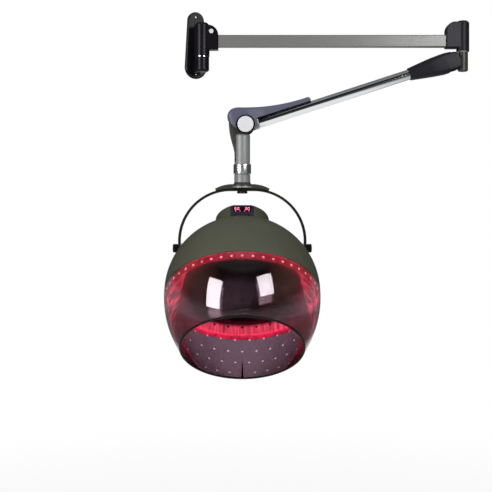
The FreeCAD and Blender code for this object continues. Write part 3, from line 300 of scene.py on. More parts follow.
under_ring = add(tree, "MapRange", {
    "Value": away, "From Min": 0.012, "From Max": 0.048, "To Min": 0.15}, **SMOOTH)
painted_side_light = add(tree, "Math", {0: side_light, 1: under_ring}, operation="MULTIPLY")
painted_streak_light = add(tree, "Mix", {"Factor": sideways, "A": far_light, "B": painted_side_light})
glow = add(tree, "Math", {0: fall, 1: painted_streak_light}, operation="MULTIPLY")
side_least_light = add(tree, "Math", {0: sideways, 1: SIDE_LEAST_LIGHT}, operation="MULTIPLY")
glow = add(tree, "Math", {0: glow, 1: side_least_light}, operation="MAXIMUM")
# The painted ring light and its painted lamp streaks become the liner's emission.
feed(shader, Emission_Strength=glow)
print("glow reaches", FRONT_DEPTH, "m down in front,", SIDE_DEPTH, "m at the sides")

# %% [markdown]
# ## Light ring, lamps and display
# The ring is a strip of red acrylic lit from behind, brighter on its inner face, which shows
# through the bowl. The lamps are clear domes over light-emitting chips, and the display is a red
# seven-segment glass. They give their own light, so each takes an emission colour on a glossy
# plastic base. A soft noise along the ring keeps its light uneven.

# %% Things that glow
LAMP_LIGHT = "#FF98A8"


def glowing(name, base, light, low, high, patch_mm):
    """A glossy plastic that gives its own uneven light."""
    made, tree, shader = material(name, Base_Color=linear(base), Roughness=0.2, Emission_Color=linear(light))
    place = add(tree, "TexCoord").outputs["Object"]
    patches = add(tree, "TexNoise", {"Vector": place, "Scale": 1 / (patch_mm * MM), "Detail": 2.0})
    power = add(tree, "MapRange", {
        "Value": patches, "From Min": 0.3, "From Max": 0.7, "To Min": low, "To Max": high})
    feed(shader, Emission_Strength=power)
    return made


ring_glow = glowing("red_light_guide", "#5A0C18", "#DC2C40", 0.34, 0.7, 12)
ring_bright = glowing("red_light_guide_inside", "#7A1024", "#F03058", 1.5, 4.5, 12)
lamp_glow = glowing("led_lens", "#C06070", LAMP_LIGHT, 0.8, 1.6, 30)
digit_glow = glowing("display_segments", "#C04058", "#FF7E9A", 1.6, 2.2, 3)
print("lamp light", [round(v, 2) for v in linear(LAMP_LIGHT)[:3]])

# %% [markdown]
# ## Panel and inner parts
# The control panel wears a printed film with a dark window. The circuit board, the heater's mica
# and the nylon fan are hidden, and still get the finish that such parts have.

# %% Panel film, window, circuit board and mica
panel_film = grained("printed_polyester_film", "#241B2E", "#1D1626", 0.25, 1.0, 0.01)
window_glass = grained("dark_filter_window", "#160C18", "#100812", 0.08, 2.0, 0.002)
board = grained("fibreglass_circuit_board", "#1F5B38", "#184A2D", 0.4, 2.0, 0.03)
mica = grained("laminated_mica", "#A59A7C", "#8D8268", 0.5, 3.0, 0.08)
fan_nylon = grained("moulded_nylon_fan", "#A9A9A6", "#9C9C98", 0.45, 0.9, 0.03)
print("five more finishes, the panel film is", panel_film.name)

# %% [markdown]
# ## Finishes for the CAD nodes
# A CAD node whose shape is already right only needs its finish. The table below pairs each finish
# with the nodes that are made that way. The nodes that get a finer form are in it too, so that
# nothing shows in plain grey if a form is left out.

# %% Dress the CAD nodes
DRESS = {
    black_coat: ["wall_bracket", "shoulder_knuckle"],
    navy_abs: ["elbow_knuckle", "rear_cover_front", "rear_cover_back"],
    blue_grey_abs: ["front_cover"],
    olive_abs: ["hood_shell", "drum_housing"],
    arm_paint: ["arm_tube"],
    grey_cast: ["stem_head"],
    dark_cast: ["yoke_saddle", "elbow_head"],
    bow_steel: ["yoke_bow", "spindle_cap"],
    black_abs: ["wrist_bezel_front", "wrist_bezel_back", "tilt_knob_right", "tilt_knob_left",
                "button_1", "button_2", "button_3", "button_4"],
    chrome: ["lift_tube", "shoulder_washer"],
    satin_chrome: ["stem_ring"],
    bright_zinc: ["wrist_disc", "shoulder_clamp_screw", "collar_screw"],
    turned_steel: ["shoulder_pin", "elbow_pin", "lift_pin", "wrist_pin", "swivel_spindle", "lift_springs"],
    zinc_steel: ["lift_fork", "wrist_fork", "motor_spider", "liner_posts", "thermostat", "motor"],
    bronze: ["shoulder_bushes", "elbow_bushes"],
    nylon: ["elbow_washer", "tilt_washers"],
    smoked: ["visor"],
    ribbed: ["perforated_liner"],
    rubber: ["mouth_trim"],
    ring_glow: ["light_ring"],
    lamp_glow: ["ring_lamps"],
    panel_film: ["control_panel"],
    window_glass: ["display_window"],
    board: ["control_board"],
    mica: ["heater_frame"],
    nichrome: ["heater_element"],
    fan_nylon: ["fan"],
}
for finish, names in DRESS.items():
    for name in names:
        nodes[name].data.materials.clear()
        nodes[name].data.materials.append(finish)
bare = sorted(set(nodes) - {name for names in DRESS.values() for name in names})
print("nodes without a finish:", bare)

# %% [markdown]
# ## Turned forms
# Most of the hood is round. A profile of (radius, height) points spun about Z gives such a form
# with as many steps as a smooth edge needs, and every point stays where the drawing has it. The
# mesh is shaded smooth and kept sharp only where it turns by more than 35 degrees.

# %% Mesh and turning helpers
SHARP = math.radians(35)


def piece(name, points, faces, finish, body, place, hides=()):
    """A mesh object from points in millimetres, laid in a frame and riding on a body."""
    mesh = bpy.data.meshes.new(name)
    mesh.from_pydata([place @ (Vector(point) * MM) for point in points], [], faces)
    mesh.validate()
    mesh.shade_smooth()
    mesh.set_sharp_from_angle(angle=SHARP)
    mesh.materials.append(finish)
    made = bpy.data.objects.new(name, mesh)
    bpy.context.collection.objects.link(made)
    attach(made, body)
    if hides:
        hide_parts(*hides)
    return made


def spin(profile, steps=160):
    """Points and faces of a closed profile of (radius, height) turned about Z."""
    count = len(profile)
    points = [(r * math.cos(2 * math.pi * k / steps), r * math.sin(2 * math.pi * k / steps), z)
              for k in range(steps) for r, z in profile]
    faces = []
    for k in range(steps):
        a, b = k * count, (k + 1) % steps * count
        for n in range(count):
            m = (n + 1) % count
            corners = [a + n, b + n, b + m, a + m]
            if profile[n][0] < 1e-6:
                corners.remove(b + n)
            if profile[m][0] < 1e-6:
                corners.remove(b + m)
            if len(corners) > 2:
                faces.append(corners)
    return points, faces


def flipped(faces):
    """The same faces, looking the other way."""
    return [face[::-1] for face in faces]


def arc(centre, radius, start, stop, steps):
    """Profile points on a circle, between two angles in degrees."""
    turns = [math.radians(start + (stop - start) * n / steps) for n in range(steps + 1)]
    return [(centre[0] + radius * math.cos(t), centre[1] + radius * math.sin(t)) for t in turns]


print("a ring of four points gives", len(spin([(5, 0), (6, 0), (6, 1), (5, 1)])[1]), "faces")

# %% [markdown]
# ## The dome
# The opaque dome is a vacuum formed shell 3 mm thick, on a sphere of 188.5 mm radius whose centre
# lies just above the rim. Its lower edge is rolled to a small round. The two pivot bosses are
# short turned studs that come out level with the yoke's washers.

# %% Dome shell
DOME, WALL, DROP, SEAT, TOP_HOLE = 188.5, 3.0, 134.0, 72.0, 60
EDGE_LIFT, EDGE_TURN = 0.4, 0.5
BOSS_BORE, BOSS_RADIUS, BOSS_LONG, BOSS_AT = 4.05, 12, 15, 135.2
seat_level = math.sqrt(DOME ** 2 - SEAT ** 2) - DROP
low_angle = math.degrees(math.asin((DROP - RIM) / DOME))
top_angle = math.degrees(math.acos(SEAT / DOME))
inner = DOME - WALL
inner_top = math.degrees(math.asin((seat_level - WALL + DROP) / inner))
edge = arc((math.sqrt(DOME ** 2 - (DROP - RIM) ** 2) - WALL / 2, -RIM + EDGE_LIFT), WALL / 2, -20, -160, 5)
shell_profile = (arc((0, -DROP), DOME, low_angle + EDGE_TURN, top_angle, 40)
                 + [(TOP_HOLE, seat_level), (TOP_HOLE, seat_level - WALL)]
                 + arc((0, -DROP), inner, inner_top, low_angle + EDGE_TURN, 36) + edge[::-1])
points, faces = spin(shell_profile)
for side in (-1, 1):
    boss, boss_faces = spin([(BOSS_BORE, 0), (BOSS_RADIUS, 0), (BOSS_RADIUS, BOSS_LONG - 1.5),
                             (BOSS_RADIUS - 1, BOSS_LONG), (BOSS_BORE, BOSS_LONG)], 48)
    start = len(points)
    points += [(side * (BOSS_AT + z), y, x * side) for x, y, z in boss]
    faces += [[start + n for n in face] for face in boss_faces]
dome = piece("dome_shell", points, faces, olive_abs, "hood", HOOD, ["hood_shell"])
print("dome", len(dome.data.polygons), "faces")

# %% [markdown]
# ## The visor
# The visor carries the dome's line on below the rim and draws in to the mouth: an arc of 273 mm
# radius. It is a true 2.2 mm wall, so that the light bends as it goes in and straightens as it
# comes out. The liner starts 10.5 mm further in and draws near the visor at the mouth.

# %% Visor
BEND, MOUTH, VISOR_WALL, VISOR_STEPS = 273.0, 286.0, 2.2, 40
LINER_GAP, LINER_WALL, RIM_GAP, MOUTH_GAP = 10.5, 1.6, 0.3, 0.5
LINER_SIDE = DOME - LINER_GAP
draw = BEND - LINER_GAP + MOUTH_GAP - math.sqrt((BEND - VISOR_WALL) ** 2 - (MOUTH - RIM) ** 2)
SKIRT = ((MOUTH - RIM) ** 2 + draw ** 2) / (2 * draw)


def wall_radius(side, bend, level, inset=0.0):
    """Radius of a drawn-in lower wall at a level below the rim."""
    return side - bend + math.sqrt((bend - inset) ** 2 - (level + RIM) ** 2)


levels = [-RIM - RIM_GAP - (MOUTH - RIM - RIM_GAP) * n / VISOR_STEPS for n in range(VISOR_STEPS + 1)]
outer_wall = [(wall_radius(DOME, BEND, z), z) for z in levels]
inner_wall = [(wall_radius(DOME, BEND, z, VISOR_WALL), z) for z in reversed(levels)]
points, faces = spin(outer_wall + inner_wall, 240)
visor = piece("smoked_visor", points, flipped(faces), smoked, "hood", HOOD, ["visor"])
print("visor", len(visor.data.polygons), "faces")

# %% [markdown]
# ## The perforated liner
# Warm air reaches the hair through rows of small holes in a clear inner bowl. Cutting them with a
# boolean would leave ragged shading, so the bowl is a lattice of angle and level, with a lattice
# point at the middle of every hole.

# %% Liner lattice
COLUMNS, BLOCK, HOLE = 240, 2, 3.0
HOLE_ROWS, HOLES_IN_ROW, HOLES_ROUND, FIRST_ROW, ROW_PITCH = 5, 15, 30, -125, 36
ROW_STEP, ROWS_BELOW, ROWS_ABOVE, FINE_STEP, FINE_ROWS = 6, 26, 14, 3, 12
SLIT_TOP, SLIT_WIDE, SLIT_TIP = -224, 6.0, 0.3
CROWN, CROWN_RADIUS, CROWN_TOP = (10.1, -167.5), 170.0, -5
levels = [-MOUTH] + [FIRST_ROW + ROW_STEP * n for n in range(-ROWS_BELOW, ROWS_ABOVE + 1)]
levels += [levels[-1] + FINE_STEP * n for n in range(1, FINE_ROWS + 1)]
levels = [z for z in levels if z < CROWN_TOP] + [CROWN_TOP]


def liner_point(turn, level, inset=0.0):
    """A point of the liner; the inset moves it inwards, square to the wall."""
    if level <= -RIM:
        radius, centre = wall_radius(LINER_SIDE, SKIRT, level), (LINER_SIDE - SKIRT, -RIM)
    else:
        radius = CROWN[0] + math.sqrt(CROWN_RADIUS ** 2 - (level - CROWN[1]) ** 2)
        centre = CROWN
    out = Vector((radius - centre[0], level - centre[1])).normalized()
    radius, level = radius - inset * out.x, level - inset * out.y
    return (-radius * math.sin(turn), radius * math.cos(turn), level)


spots = {}
for row in range(HOLE_ROWS):
    for spot in range(HOLES_IN_ROW):
        column = round((spot - (HOLES_IN_ROW - 1) / 2 + (0.5 if row % 2 else 0)) * COLUMNS / HOLES_ROUND)
        level = FIRST_ROW - row * ROW_PITCH
        if level > SLIT_TOP or column != 0:
            spots[column % COLUMNS, levels.index(level)] = level
print(len(levels), "levels,", len(spots), "holes")

# %% [markdown]
# ## Holes and slit
# Round each hole, a block of four by four cells is taken out and its sixteen border points are
# joined to sixteen points of a circle. At the back, the lattice is left open along one column,
# wider towards the mouth, to make the slit. The cut edges get a near-black dull finish: partly the
# drilled acrylic's own edge, partly painted shade in the rims of the holes.

# %% Liner mesh
places, quads = [], []
grid = {}


def slit_half(level):
    """Half the slit's width at a level, as an angle."""
    share = (SLIT_TOP - level) / (SLIT_TOP + MOUTH)
    return (SLIT_TIP + (SLIT_WIDE / 2 - SLIT_TIP) * share) / wall_radius(LINER_SIDE, SKIRT, level)


def corner(column, row, side=0):
    """Index of a lattice point, made when first asked for; a side takes an edge of the slit."""
    column %= COLUMNS
    if column or levels[row] > SLIT_TOP:
        side = 0
    if (column, row, side) not in grid:
        grid[column, row, side] = len(places)
        turn = side * slit_half(levels[row]) if side else 2 * math.pi * column / COLUMNS
        places.append((turn, levels[row]))
    return grid[column, row, side]


taken = {((column + i) % COLUMNS, row + j) for column, row in spots
         for i in range(-BLOCK, BLOCK) for j in range(-BLOCK, BLOCK)}
for row in range(len(levels) - 1):
    for column in range(COLUMNS):
        if (column, row) in taken:
            continue
        left = [corner(column, row, 1), corner(column, row + 1, 1)]
        right = [corner(column + 1, row, -1), corner(column + 1, row + 1, -1)]
        quads.append([left[0], left[1], right[1], right[0]])
border = ([(-BLOCK + n, -BLOCK) for n in range(4)] + [(BLOCK, -BLOCK + n) for n in range(4)]
          + [(BLOCK - n, BLOCK) for n in range(4)] + [(-BLOCK, BLOCK - n) for n in range(4)])
for (column, row), level in spots.items():
    turn = 2 * math.pi * column / COLUMNS
    base = Vector(liner_point(turn, level))
    radius = math.hypot(base.x, base.y)
    rise = (Vector(liner_point(turn, level + 1)) - base).length
    first = len(places)
    for i, j in border:
        way = math.atan2(j, i)
        places.append((turn + HOLE * math.cos(way) / radius, level + HOLE * math.sin(way) / rise))
    outside = [corner(column + i, row + j) for i, j in border]
    for n in range(len(border)):
        m = (n + 1) % len(border)
        quads.append([outside[n], first + n, first + m, outside[m]])
edges = dict.fromkeys((quad[n], quad[(n + 1) % 4]) for quad in quads for n in range(4))
open_edges = [(a, b) for a, b in edges if (b, a) not in edges]
total = len(places)
points = [liner_point(*spot) for spot in places] + [liner_point(*spot, LINER_WALL) for spot in places]
faces = flipped(quads) + [[n + total for n in quad] for quad in quads]
faces += [[a, b, b + total, a + total] for a, b in open_edges]
bowl = piece("ribbed_liner_bowl", points, faces, ribbed, "hood", HOOD, ["perforated_liner"])
# The cut edges take the near-black finish, with its painted shade in the hole rims.
bowl.data.materials.append(drilled_edge_and_shade)
for face in bowl.data.polygons[-len(open_edges):]:
    face.material_index = 1
print("liner", len(faces), "faces")

# %% [markdown]
# ## The mouth trim
# One thin rubber trim covers the edges of visor and liner. At the back it has a tongue that runs up
# into the liner's slit and closes it.

# %% Trim
TRIM_LAP, TRIM_LOW, TRIM_ROUND = 0.4, -MOUTH - 2.4, 1.1
TONGUE_STEPS, TONGUE_LAP = 12, 0.2
trim_out = wall_radius(DOME, BEND, -MOUTH) + TRIM_LAP
trim_in = wall_radius(LINER_SIDE, SKIRT, -MOUTH, LINER_WALL) - TRIM_LAP
trim_profile = ([(trim_out, -MOUTH), (trim_in, -MOUTH)]
                + arc((trim_in + TRIM_ROUND, TRIM_LOW + TRIM_ROUND), TRIM_ROUND, 180, 270, 4)
                + arc((trim_out - TRIM_ROUND, TRIM_LOW + TRIM_ROUND), TRIM_ROUND, 270, 360, 4))
points, faces = spin(trim_profile, 240)
for n in range(TONGUE_STEPS + 1):
    level = SLIT_TOP - 1 + (1 - MOUTH - SLIT_TOP) * n / TONGUE_STEPS
    half = slit_half(level)
    start = len(points)
    points += [liner_point(half, level, -TONGUE_LAP), liner_point(-half, level, -TONGUE_LAP),
               liner_point(-half, level, LINER_WALL + TONGUE_LAP),
               liner_point(half, level, LINER_WALL + TONGUE_LAP)]
    if n:
        faces += [[start + k, start + (k + 1) % 4, start - 4 + (k + 1) % 4, start - 4 + k] for k in range(4)]
    else:
        faces.append([start, start + 1, start + 2, start + 3])
faces.append([start + 3, start + 2, start + 1, start])
piece("mouth_trim_lip", points, faces, rubber, "hood", HOOD, ["mouth_trim"])
print("mouth", round(2 * trim_in), "mm across inside")

# %% [markdown]
# ## The light ring and its lamps
# Under the rim, a strip of red acrylic runs all the way round, with 48 clear lamps on its face.
# Each lamp is a low dome. A dome on a round ring is placed by its angle, so one loop makes all.

# %% Ring and lamps
RING_HIGH = -RIM - 0.8
RING_LOW = RING_HIGH - 15.5
RING_IN, RING_OUT, RING_BEVEL = DOME - 7.7, DOME - 5.1, 0.6
LAMPS, LAMP_LEVEL, LAMP_RADIUS, LAMP_HIGH = 48, RING_HIGH - 9.5, 3.1, 1.6
ring_profile = [(RING_IN, RING_LOW), (RING_OUT - RING_BEVEL, RING_LOW), (RING_OUT, RING_LOW + RING_BEVEL),
                (RING_OUT, RING_HIGH - RING_BEVEL), (RING_OUT - RING_BEVEL, RING_HIGH), (RING_IN, RING_HIGH)]
points, faces = spin(ring_profile, 240)
strip = piece("light_strip", points, faces, ring_glow, "hood", HOOD, ["light_ring"])
strip.data.materials.append(ring_bright)
inner_face = len(ring_profile) - 1
for face in strip.data.polygons:
    face.material_index = 1 if face.index % len(ring_profile) == inner_face else 0
lamp_profile = [(0.0, 0.0), (LAMP_RADIUS, 0.0), (LAMP_RADIUS * 0.92, LAMP_HIGH * 0.4),
                (LAMP_RADIUS * 0.7, LAMP_HIGH * 0.72), (LAMP_RADIUS * 0.38, LAMP_HIGH * 0.93),
                (0.0, LAMP_HIGH)]
lamp_points, lamp_faces = spin(lamp_profile, 14)
points, faces = [], []
for n in range(LAMPS):
    turn = 2 * math.pi * n / LAMPS
    start = len(points)
    for x, y, z in lamp_points:
        out = RING_OUT + z
        points.append((out * math.cos(turn) - x * math.sin(turn), out * math.sin(turn) + x * math.cos(turn),
                       LAMP_LEVEL + y))
    faces += [[start + k for k in face] for face in lamp_faces]
piece("lamp_domes", points, faces, lamp_glow, "hood", HOOD, ["ring_lamps"])
print(LAMPS, "lamps,", round(2 * math.pi * RING_OUT / LAMPS, 1), "mm apart")

# %% [markdown]
# ## The display
# Behind the dark window are two pairs of seven-segment digits, a temperature and a time. Each digit
# is a set of flat bars that lean a little to the right, as on real displays, and only the bars
# that its number needs are made. Four small dots under them mark the chosen programme.

# %% Digits and dots
SEGMENTS = {"0": "abcdef", "3": "abgcd", "5": "afgcd"}
BARS = {"a": (0, 1, 1), "b": (0.5, 0.5, 0), "c": (0.5, -0.5, 0), "d": (0, -1, 1), "e": (-0.5, -0.5, 0),
        "f": (-0.5, 0.5, 0), "g": (0, 0, 1)}
DIGITS = ((-17.0, "5"), (-10.2, "0"), (9.0, "3"), (15.8, "0"))
DIGIT_HIGH, DIGIT_WIDE, BAR, BAR_THICK, SKEW = 7.0, 4.4, 1.1, 0.2, 0.1
FACE, WINDOW_LEVEL = -62.0, 77.5
DOTS, DOT_FIRST, DOT_PITCH, DOT_LEVEL = 4, -16.5, 11, 70.0
points, faces = [], []


def plate(x, z, wide, high):
    """A thin six-sided bar on the panel's face."""
    start = len(points)
    long, half = (wide, high / 2) if wide > high else (high, wide / 2)
    rim = [(-long / 2, 0), (-long / 2 + half, -half), (long / 2 - half, -half), (long / 2, 0),
           (long / 2 - half, half), (-long / 2 + half, half)]
    if high >= wide:
        rim = [(-b, a) for a, b in rim]
    for depth in (0, -BAR_THICK):
        points.extend((x + a + SKEW * (z + b), depth, z + b) for a, b in rim)
    faces.append([start + n for n in range(6)][::-1])
    faces.append([start + 6 + n for n in range(6)])
    faces.extend([start + n, start + (n + 1) % 6, start + 6 + (n + 1) % 6, start + 6 + n] for n in range(6))


for x, number in DIGITS:
    for name in SEGMENTS[number]:
        side, height, flat = BARS[name]
        size = (DIGIT_WIDE - 0.4, BAR) if flat else (BAR, DIGIT_HIGH / 2 - 0.3)
        plate(x + side * DIGIT_WIDE, height * DIGIT_HIGH / 2, *size)
digits = piece("display_digits", [(x, FACE + 0.1 + y, WINDOW_LEVEL + z) for x, y, z in points],
               faces, digit_glow, "hood", HOOD)
points, faces = [], []
for n in range(DOTS):
    dot, dot_faces = spin([(0.0, 0.0), (0.9, 0.0), (0.9, 0.25), (0.0, 0.35)], 16)
    start = len(points)
    points += [(DOT_FIRST + DOT_PITCH * n + x, FACE - z, DOT_LEVEL + y) for x, y, z in dot]
    faces += [[start + k for k in face] for face in dot_faces]
piece("programme_dots", points, faces, digit_glow, "hood", HOOD)
print("display digits", len(digits.data.polygons), "faces")

# %% [markdown]
# ## The chrome tube and ring
# A mirror shows every facet, so the two bright round pieces are turned again with many more steps
# than the CAD mesh has. Their sizes and places stay those of the CAD.

# %% Chrome pieces
TUBE_START, TUBE_STOP, TUBE_DROP, TUBE_RADIUS, TUBE_WALL = 62.0, 511.8, 6.0, 12.7, 1.5
RING_BORE, RING_RADIUS, RING_ROUND, RING_FOOT, RING_HEAD = 9.05, 20.8, 1.2, -122.5, -98.0
LAY = Matrix.Rotation(math.radians(90), 4, "Y")
tube_place = LIFT @ Matrix.Translation((0, 0, -TUBE_DROP * MM)) @ LAY
points, faces = spin([(TUBE_RADIUS - TUBE_WALL, TUBE_START), (TUBE_RADIUS, TUBE_START),
                      (TUBE_RADIUS, TUBE_STOP), (TUBE_RADIUS - TUBE_WALL, TUBE_STOP)], 128)
piece("chrome_tube", points, faces, chrome, "lift", tube_place, ["lift_tube"])
STEM = WRIST @ Matrix.Translation((-8 * MM, 0, 0))
points, faces = spin([(RING_BORE, RING_FOOT), (RING_RADIUS, RING_FOOT)]
                     + arc((RING_RADIUS, RING_FOOT + RING_ROUND), RING_ROUND, -90, 0, 4)
                     + arc((RING_RADIUS, RING_HEAD - RING_ROUND), RING_ROUND, 0, 90, 4)
                     + [(RING_BORE, RING_HEAD)], 96)
piece("chrome_collar", points, faces, satin_chrome, "stem", STEM, ["stem_ring"])
print("chrome tube", TUBE_STOP - TUBE_START, "mm long")

# %% [markdown]
# ## Sections of a cover
# The covers of the second arm are thin mouldings, drawn as a row of close cross-sections along the
# arm. A table gives the height and width at a few places.

# %% Sections
def between(x, table):
    """Value at x from a table of (x, value), on straight lines."""
    for (x0, v0), (x1, v1) in zip(table, table[1:]):
        if x <= x1:
            return v0 + (v1 - v0) * max(0.0, x - x0) / (x1 - x0)
    return table[-1][1]


def shoulder(y, z, radius, start, stop):
    """Points of a round corner with a given centre, between two angles in degrees."""
    return arc((y, z), max(radius, 0.01), start, stop, 6)


def skin(rows):
    """Points and faces of a thin wall through rows of (x, outer points, inner points)."""
    points, faces = [], []
    for x, outer, inner in rows:
        points += [(x, y, z) for y, z in outer + inner[::-1]]
    count = len(rows[0][1]) * 2
    for k in range(len(rows) - 1):
        for n in range(count):
            m = (n + 1) % count
            faces.append([k * count + n, k * count + m, (k + 1) * count + m, (k + 1) * count + n])
    for base, order in ((0, -1), ((len(rows) - 1) * count, 1)):
        for n in range(count // 2 - 1):
            faces.append([base + n, base + n + 1, base + count - 2 - n, base + count - 1 - n][::order])
    return points, faces


print("half way between 10 and 20:", between(5, [(0, 10), (10, 20)]))

# %% [markdown]
# ## The wrist cover
# A saddle over the wrist: an arch with round shoulders that rises in a hollow line from a
# chamfered tip to a crest, and ends in a round nose.

# %% Wrist cover
WRIST_AT, TIP, COVER_WALL = 545.8, 372.0, 2.5
NOSE_START, NOSE_RADIUS, NOSE_LEVEL = 16, 22, 26
NOSE_AT = WRIST_AT + 38
CREST_START, CREST_LONG, CREST_LEVEL, CREST_RISE = 14, 30, 40, 8
TIP_LONG, TIP_LEVEL, RISE_LEVEL, RISE, SAG = 4, 14, 18, 22, 6.2
COVER_LOW = [(WRIST_AT - 30, 7), (WRIST_AT - 27, -12), (WRIST_AT + 10, -12), (WRIST_AT + 25, -2),
             (WRIST_AT + 31, 7), (NOSE_AT, 26)]
COVER_HALF = [(TIP, 12.6), (492, 17), (WRIST_AT - 12, 24), (WRIST_AT + 24, 24), (WRIST_AT + 32, 22.5),
              (NOSE_AT, 18)]
COVER_BEND = [(TIP, 3), (TIP + 20, 5), (WRIST_AT - 20, 6), (WRIST_AT, 9), (NOSE_AT, 9)]


def cover_top(x, inset=0.0):
    """Height of the wrist cover: a chamfered tip, a hollow rise, a crest and a round nose."""
    if x > WRIST_AT + NOSE_START:
        return NOSE_LEVEL + math.sqrt(max(0.0, (NOSE_RADIUS - inset) ** 2 - (x - WRIST_AT - NOSE_START) ** 2))
    if x > WRIST_AT - CREST_START:
        share = (x - WRIST_AT + CREST_START) / CREST_LONG
        return CREST_LEVEL - inset + CREST_RISE * math.sin(share * math.pi / 2) ** 1.2
    if x > TIP + TIP_LONG:
        share = (x - TIP - TIP_LONG) / (WRIST_AT - 18 - TIP)
        return RISE_LEVEL - inset + RISE * share - SAG * (1 - (2 * share - 1) ** 2)
    return TIP_LEVEL - inset + x - TIP


def arch(half, low, top, bend):
    """Points of a section: up one side, over two round shoulders and down the other side."""
    return ([(half, low)] + shoulder(half - bend, top - bend, bend, 0, 90)
            + shoulder(bend - half, top - bend, bend, 90, 180) + [(-half, low)])


rows = []
places = [TIP, TIP + 1.3, TIP + 2.6, TIP + 4] + [TIP + 4 + 6 * n for n in range(1, 23)]
places += [WRIST_AT - 30, WRIST_AT - 28.5, WRIST_AT - 27] + [WRIST_AT - 24 + 4 * n for n in range(10)]
places += [WRIST_AT + NOSE_START + NOSE_RADIUS * math.sin(math.radians(turn)) for turn in range(6, 91, 7)]
for x in sorted(places + [NOSE_AT]):
    low, half, bend = between(x, COVER_LOW), between(x, COVER_HALF), between(x, COVER_BEND)
    top = max(cover_top(x), low + 0.3)
    bend = min(bend, top - low, half - COVER_WALL - 1)
    hollow = TIP + COVER_WALL < x < NOSE_AT - COVER_WALL
    roof = max(cover_top(x, COVER_WALL), low + 0.1) if hollow else low + 0.1
    inner_bend = max(0.0, min(bend - COVER_WALL, roof - low))
    wall = half - COVER_WALL
    rows.append((x, arch(half, low, top, bend), arch(wall, low, roof, inner_bend)))
points, faces = skin(rows)
piece("wrist_cover", points, flipped(faces), blue_grey_abs, "lift", LIFT,
      ["front_cover"])
print("wrist cover", len(rows), "sections")

# %% [markdown]
# ## The elbow covers
# Two halves of a round box close on the elbow, with a thin seam between them. The roof is open at
# the back and the floor further forward, to make room for the elbow's head.

# %% Elbow covers
HOUSING_TOP = [(-10, 5), (-8, 9), (-5, 12), (0, 14), (22, 16.5), (33, 16.5), (62, 15.2), (89, 12.6),
               (118, 9.6)]
HOUSING_LOW = [(-10, -25), (-8, -29), (-5, -32), (0, -33.2), (33, -33), (62, -29.6), (89, -25.9),
               (118, -21.6)]
HOUSING_HALF = [(-10, 23), (22, 23), (54, 22), (118, 15.6)]
HOUSING_BEND = [(-10, 7), (22, 8.5), (54, 10), (118, 15.5)]
BACK_OPEN, RELIEF, SEAM = 6.0, 19.0, 0.15


def housing_row(x, open_top, open_low):
    """One section of a half: from the seam on top, round the side, to the seam below."""
    top, low = between(x, HOUSING_TOP), between(x, HOUSING_LOW)
    half, bend = between(x, HOUSING_HALF), between(x, HOUSING_BEND)
    bend = min(bend, half - 0.1)
    wall = half - COVER_WALL
    outer, inner = [], []
    for end, up, opened in ((top, 1, open_top), (low, -1, open_low)):
        centre = (half - bend, end - up * bend)
        sweep = math.degrees(math.acos((wall - centre[0]) / bend)) if opened else 90
        first = wall if opened else SEAM
        rim = shoulder(*centre, bend, up * sweep, 0)
        lining = [(wall, z) for y, z in rim] if opened else shoulder(*centre, bend - COVER_WALL, up * 90, 0)
        rim, lining = [(first, rim[0][1])] + rim, [(first, lining[0][1])] + lining
        outer += rim if up > 0 else rim[::-1]
        inner += lining if up > 0 else lining[::-1]
    return x, outer, inner


rows = [housing_row(x, True, True) for x in (-10, -9.3, -8, -6.5, -5, -3, 0, 3, BACK_OPEN)]
rows += [housing_row(x, False, True) for x in (BACK_OPEN, 12, RELIEF)]
rows += [housing_row(x, False, False) for x in [RELIEF, 22, 27] + [33 + 8.5 * n for n in range(11)]]
for name, side, node in (("elbow_cover_front", 1, "rear_cover_front"),
                         ("elbow_cover_back", -1, "rear_cover_back")):
    points, faces = skin([(x, [(side * y, z) for y, z in outer], [(side * y, z) for y, z in inner])
                          for x, outer, inner in rows])
    piece(name, points, faces if side > 0 else flipped(faces), navy_abs, "lift", LIFT, [node])
print("elbow covers", len(rows), "sections each")

# %% [markdown]
# ## The stem
# The stem head is one casting. Its round post is turned, with a rolled upper edge. Its flat wing is
# an outline with round edges, and is coloured darker than the post.

# %% Post and wing
POST_RADIUS, POST_TOP, POST_LOW, POST_WALL, POST_ROLL, POST_CAP = 19.5, -22.5, -98.0, 3.0, 5.0, 20
WING_HALF, WING_ROLL, ROLL_STEP = 12.0, 3.0, 18
bore = POST_RADIUS - POST_WALL
points, faces = spin([(0, POST_TOP - POST_CAP), (bore, POST_TOP - POST_CAP), (bore, POST_LOW),
                      (POST_RADIUS, POST_LOW)]
                     + arc((POST_RADIUS - POST_ROLL, POST_TOP - POST_ROLL), POST_ROLL, 0, 90, 8)
                     + [(0, POST_TOP)], 96)
piece("stem_post", points, faces, grey_cast, "stem", STEM)
WING = ([(-42, 7), (-41.2, -6), (-40, -17.5), (-37.4, -31), (-34, -44), (-30.6, -55), (-28, -67),
         (-27.5, -80), (-27.5, -92), (-2, -92), (-2, -24), (17, -8), (17, 8)]
        + arc((8, 8), 9, 0, 90, 6) + arc((-28, 3), 14, 90, 165, 6))


def drawn_in(outline, inset):
    """An outline with each corner moved inwards, square to the line between its neighbours."""
    moved = []
    for n, (x, z) in enumerate(outline):
        (x0, z0), (x1, z1) = outline[n - 1], outline[(n + 1) % len(outline)]
        along = Vector((x1 - x0, z1 - z0)).normalized()
        moved.append((x - along.y * inset, z + along.x * inset))
    return moved


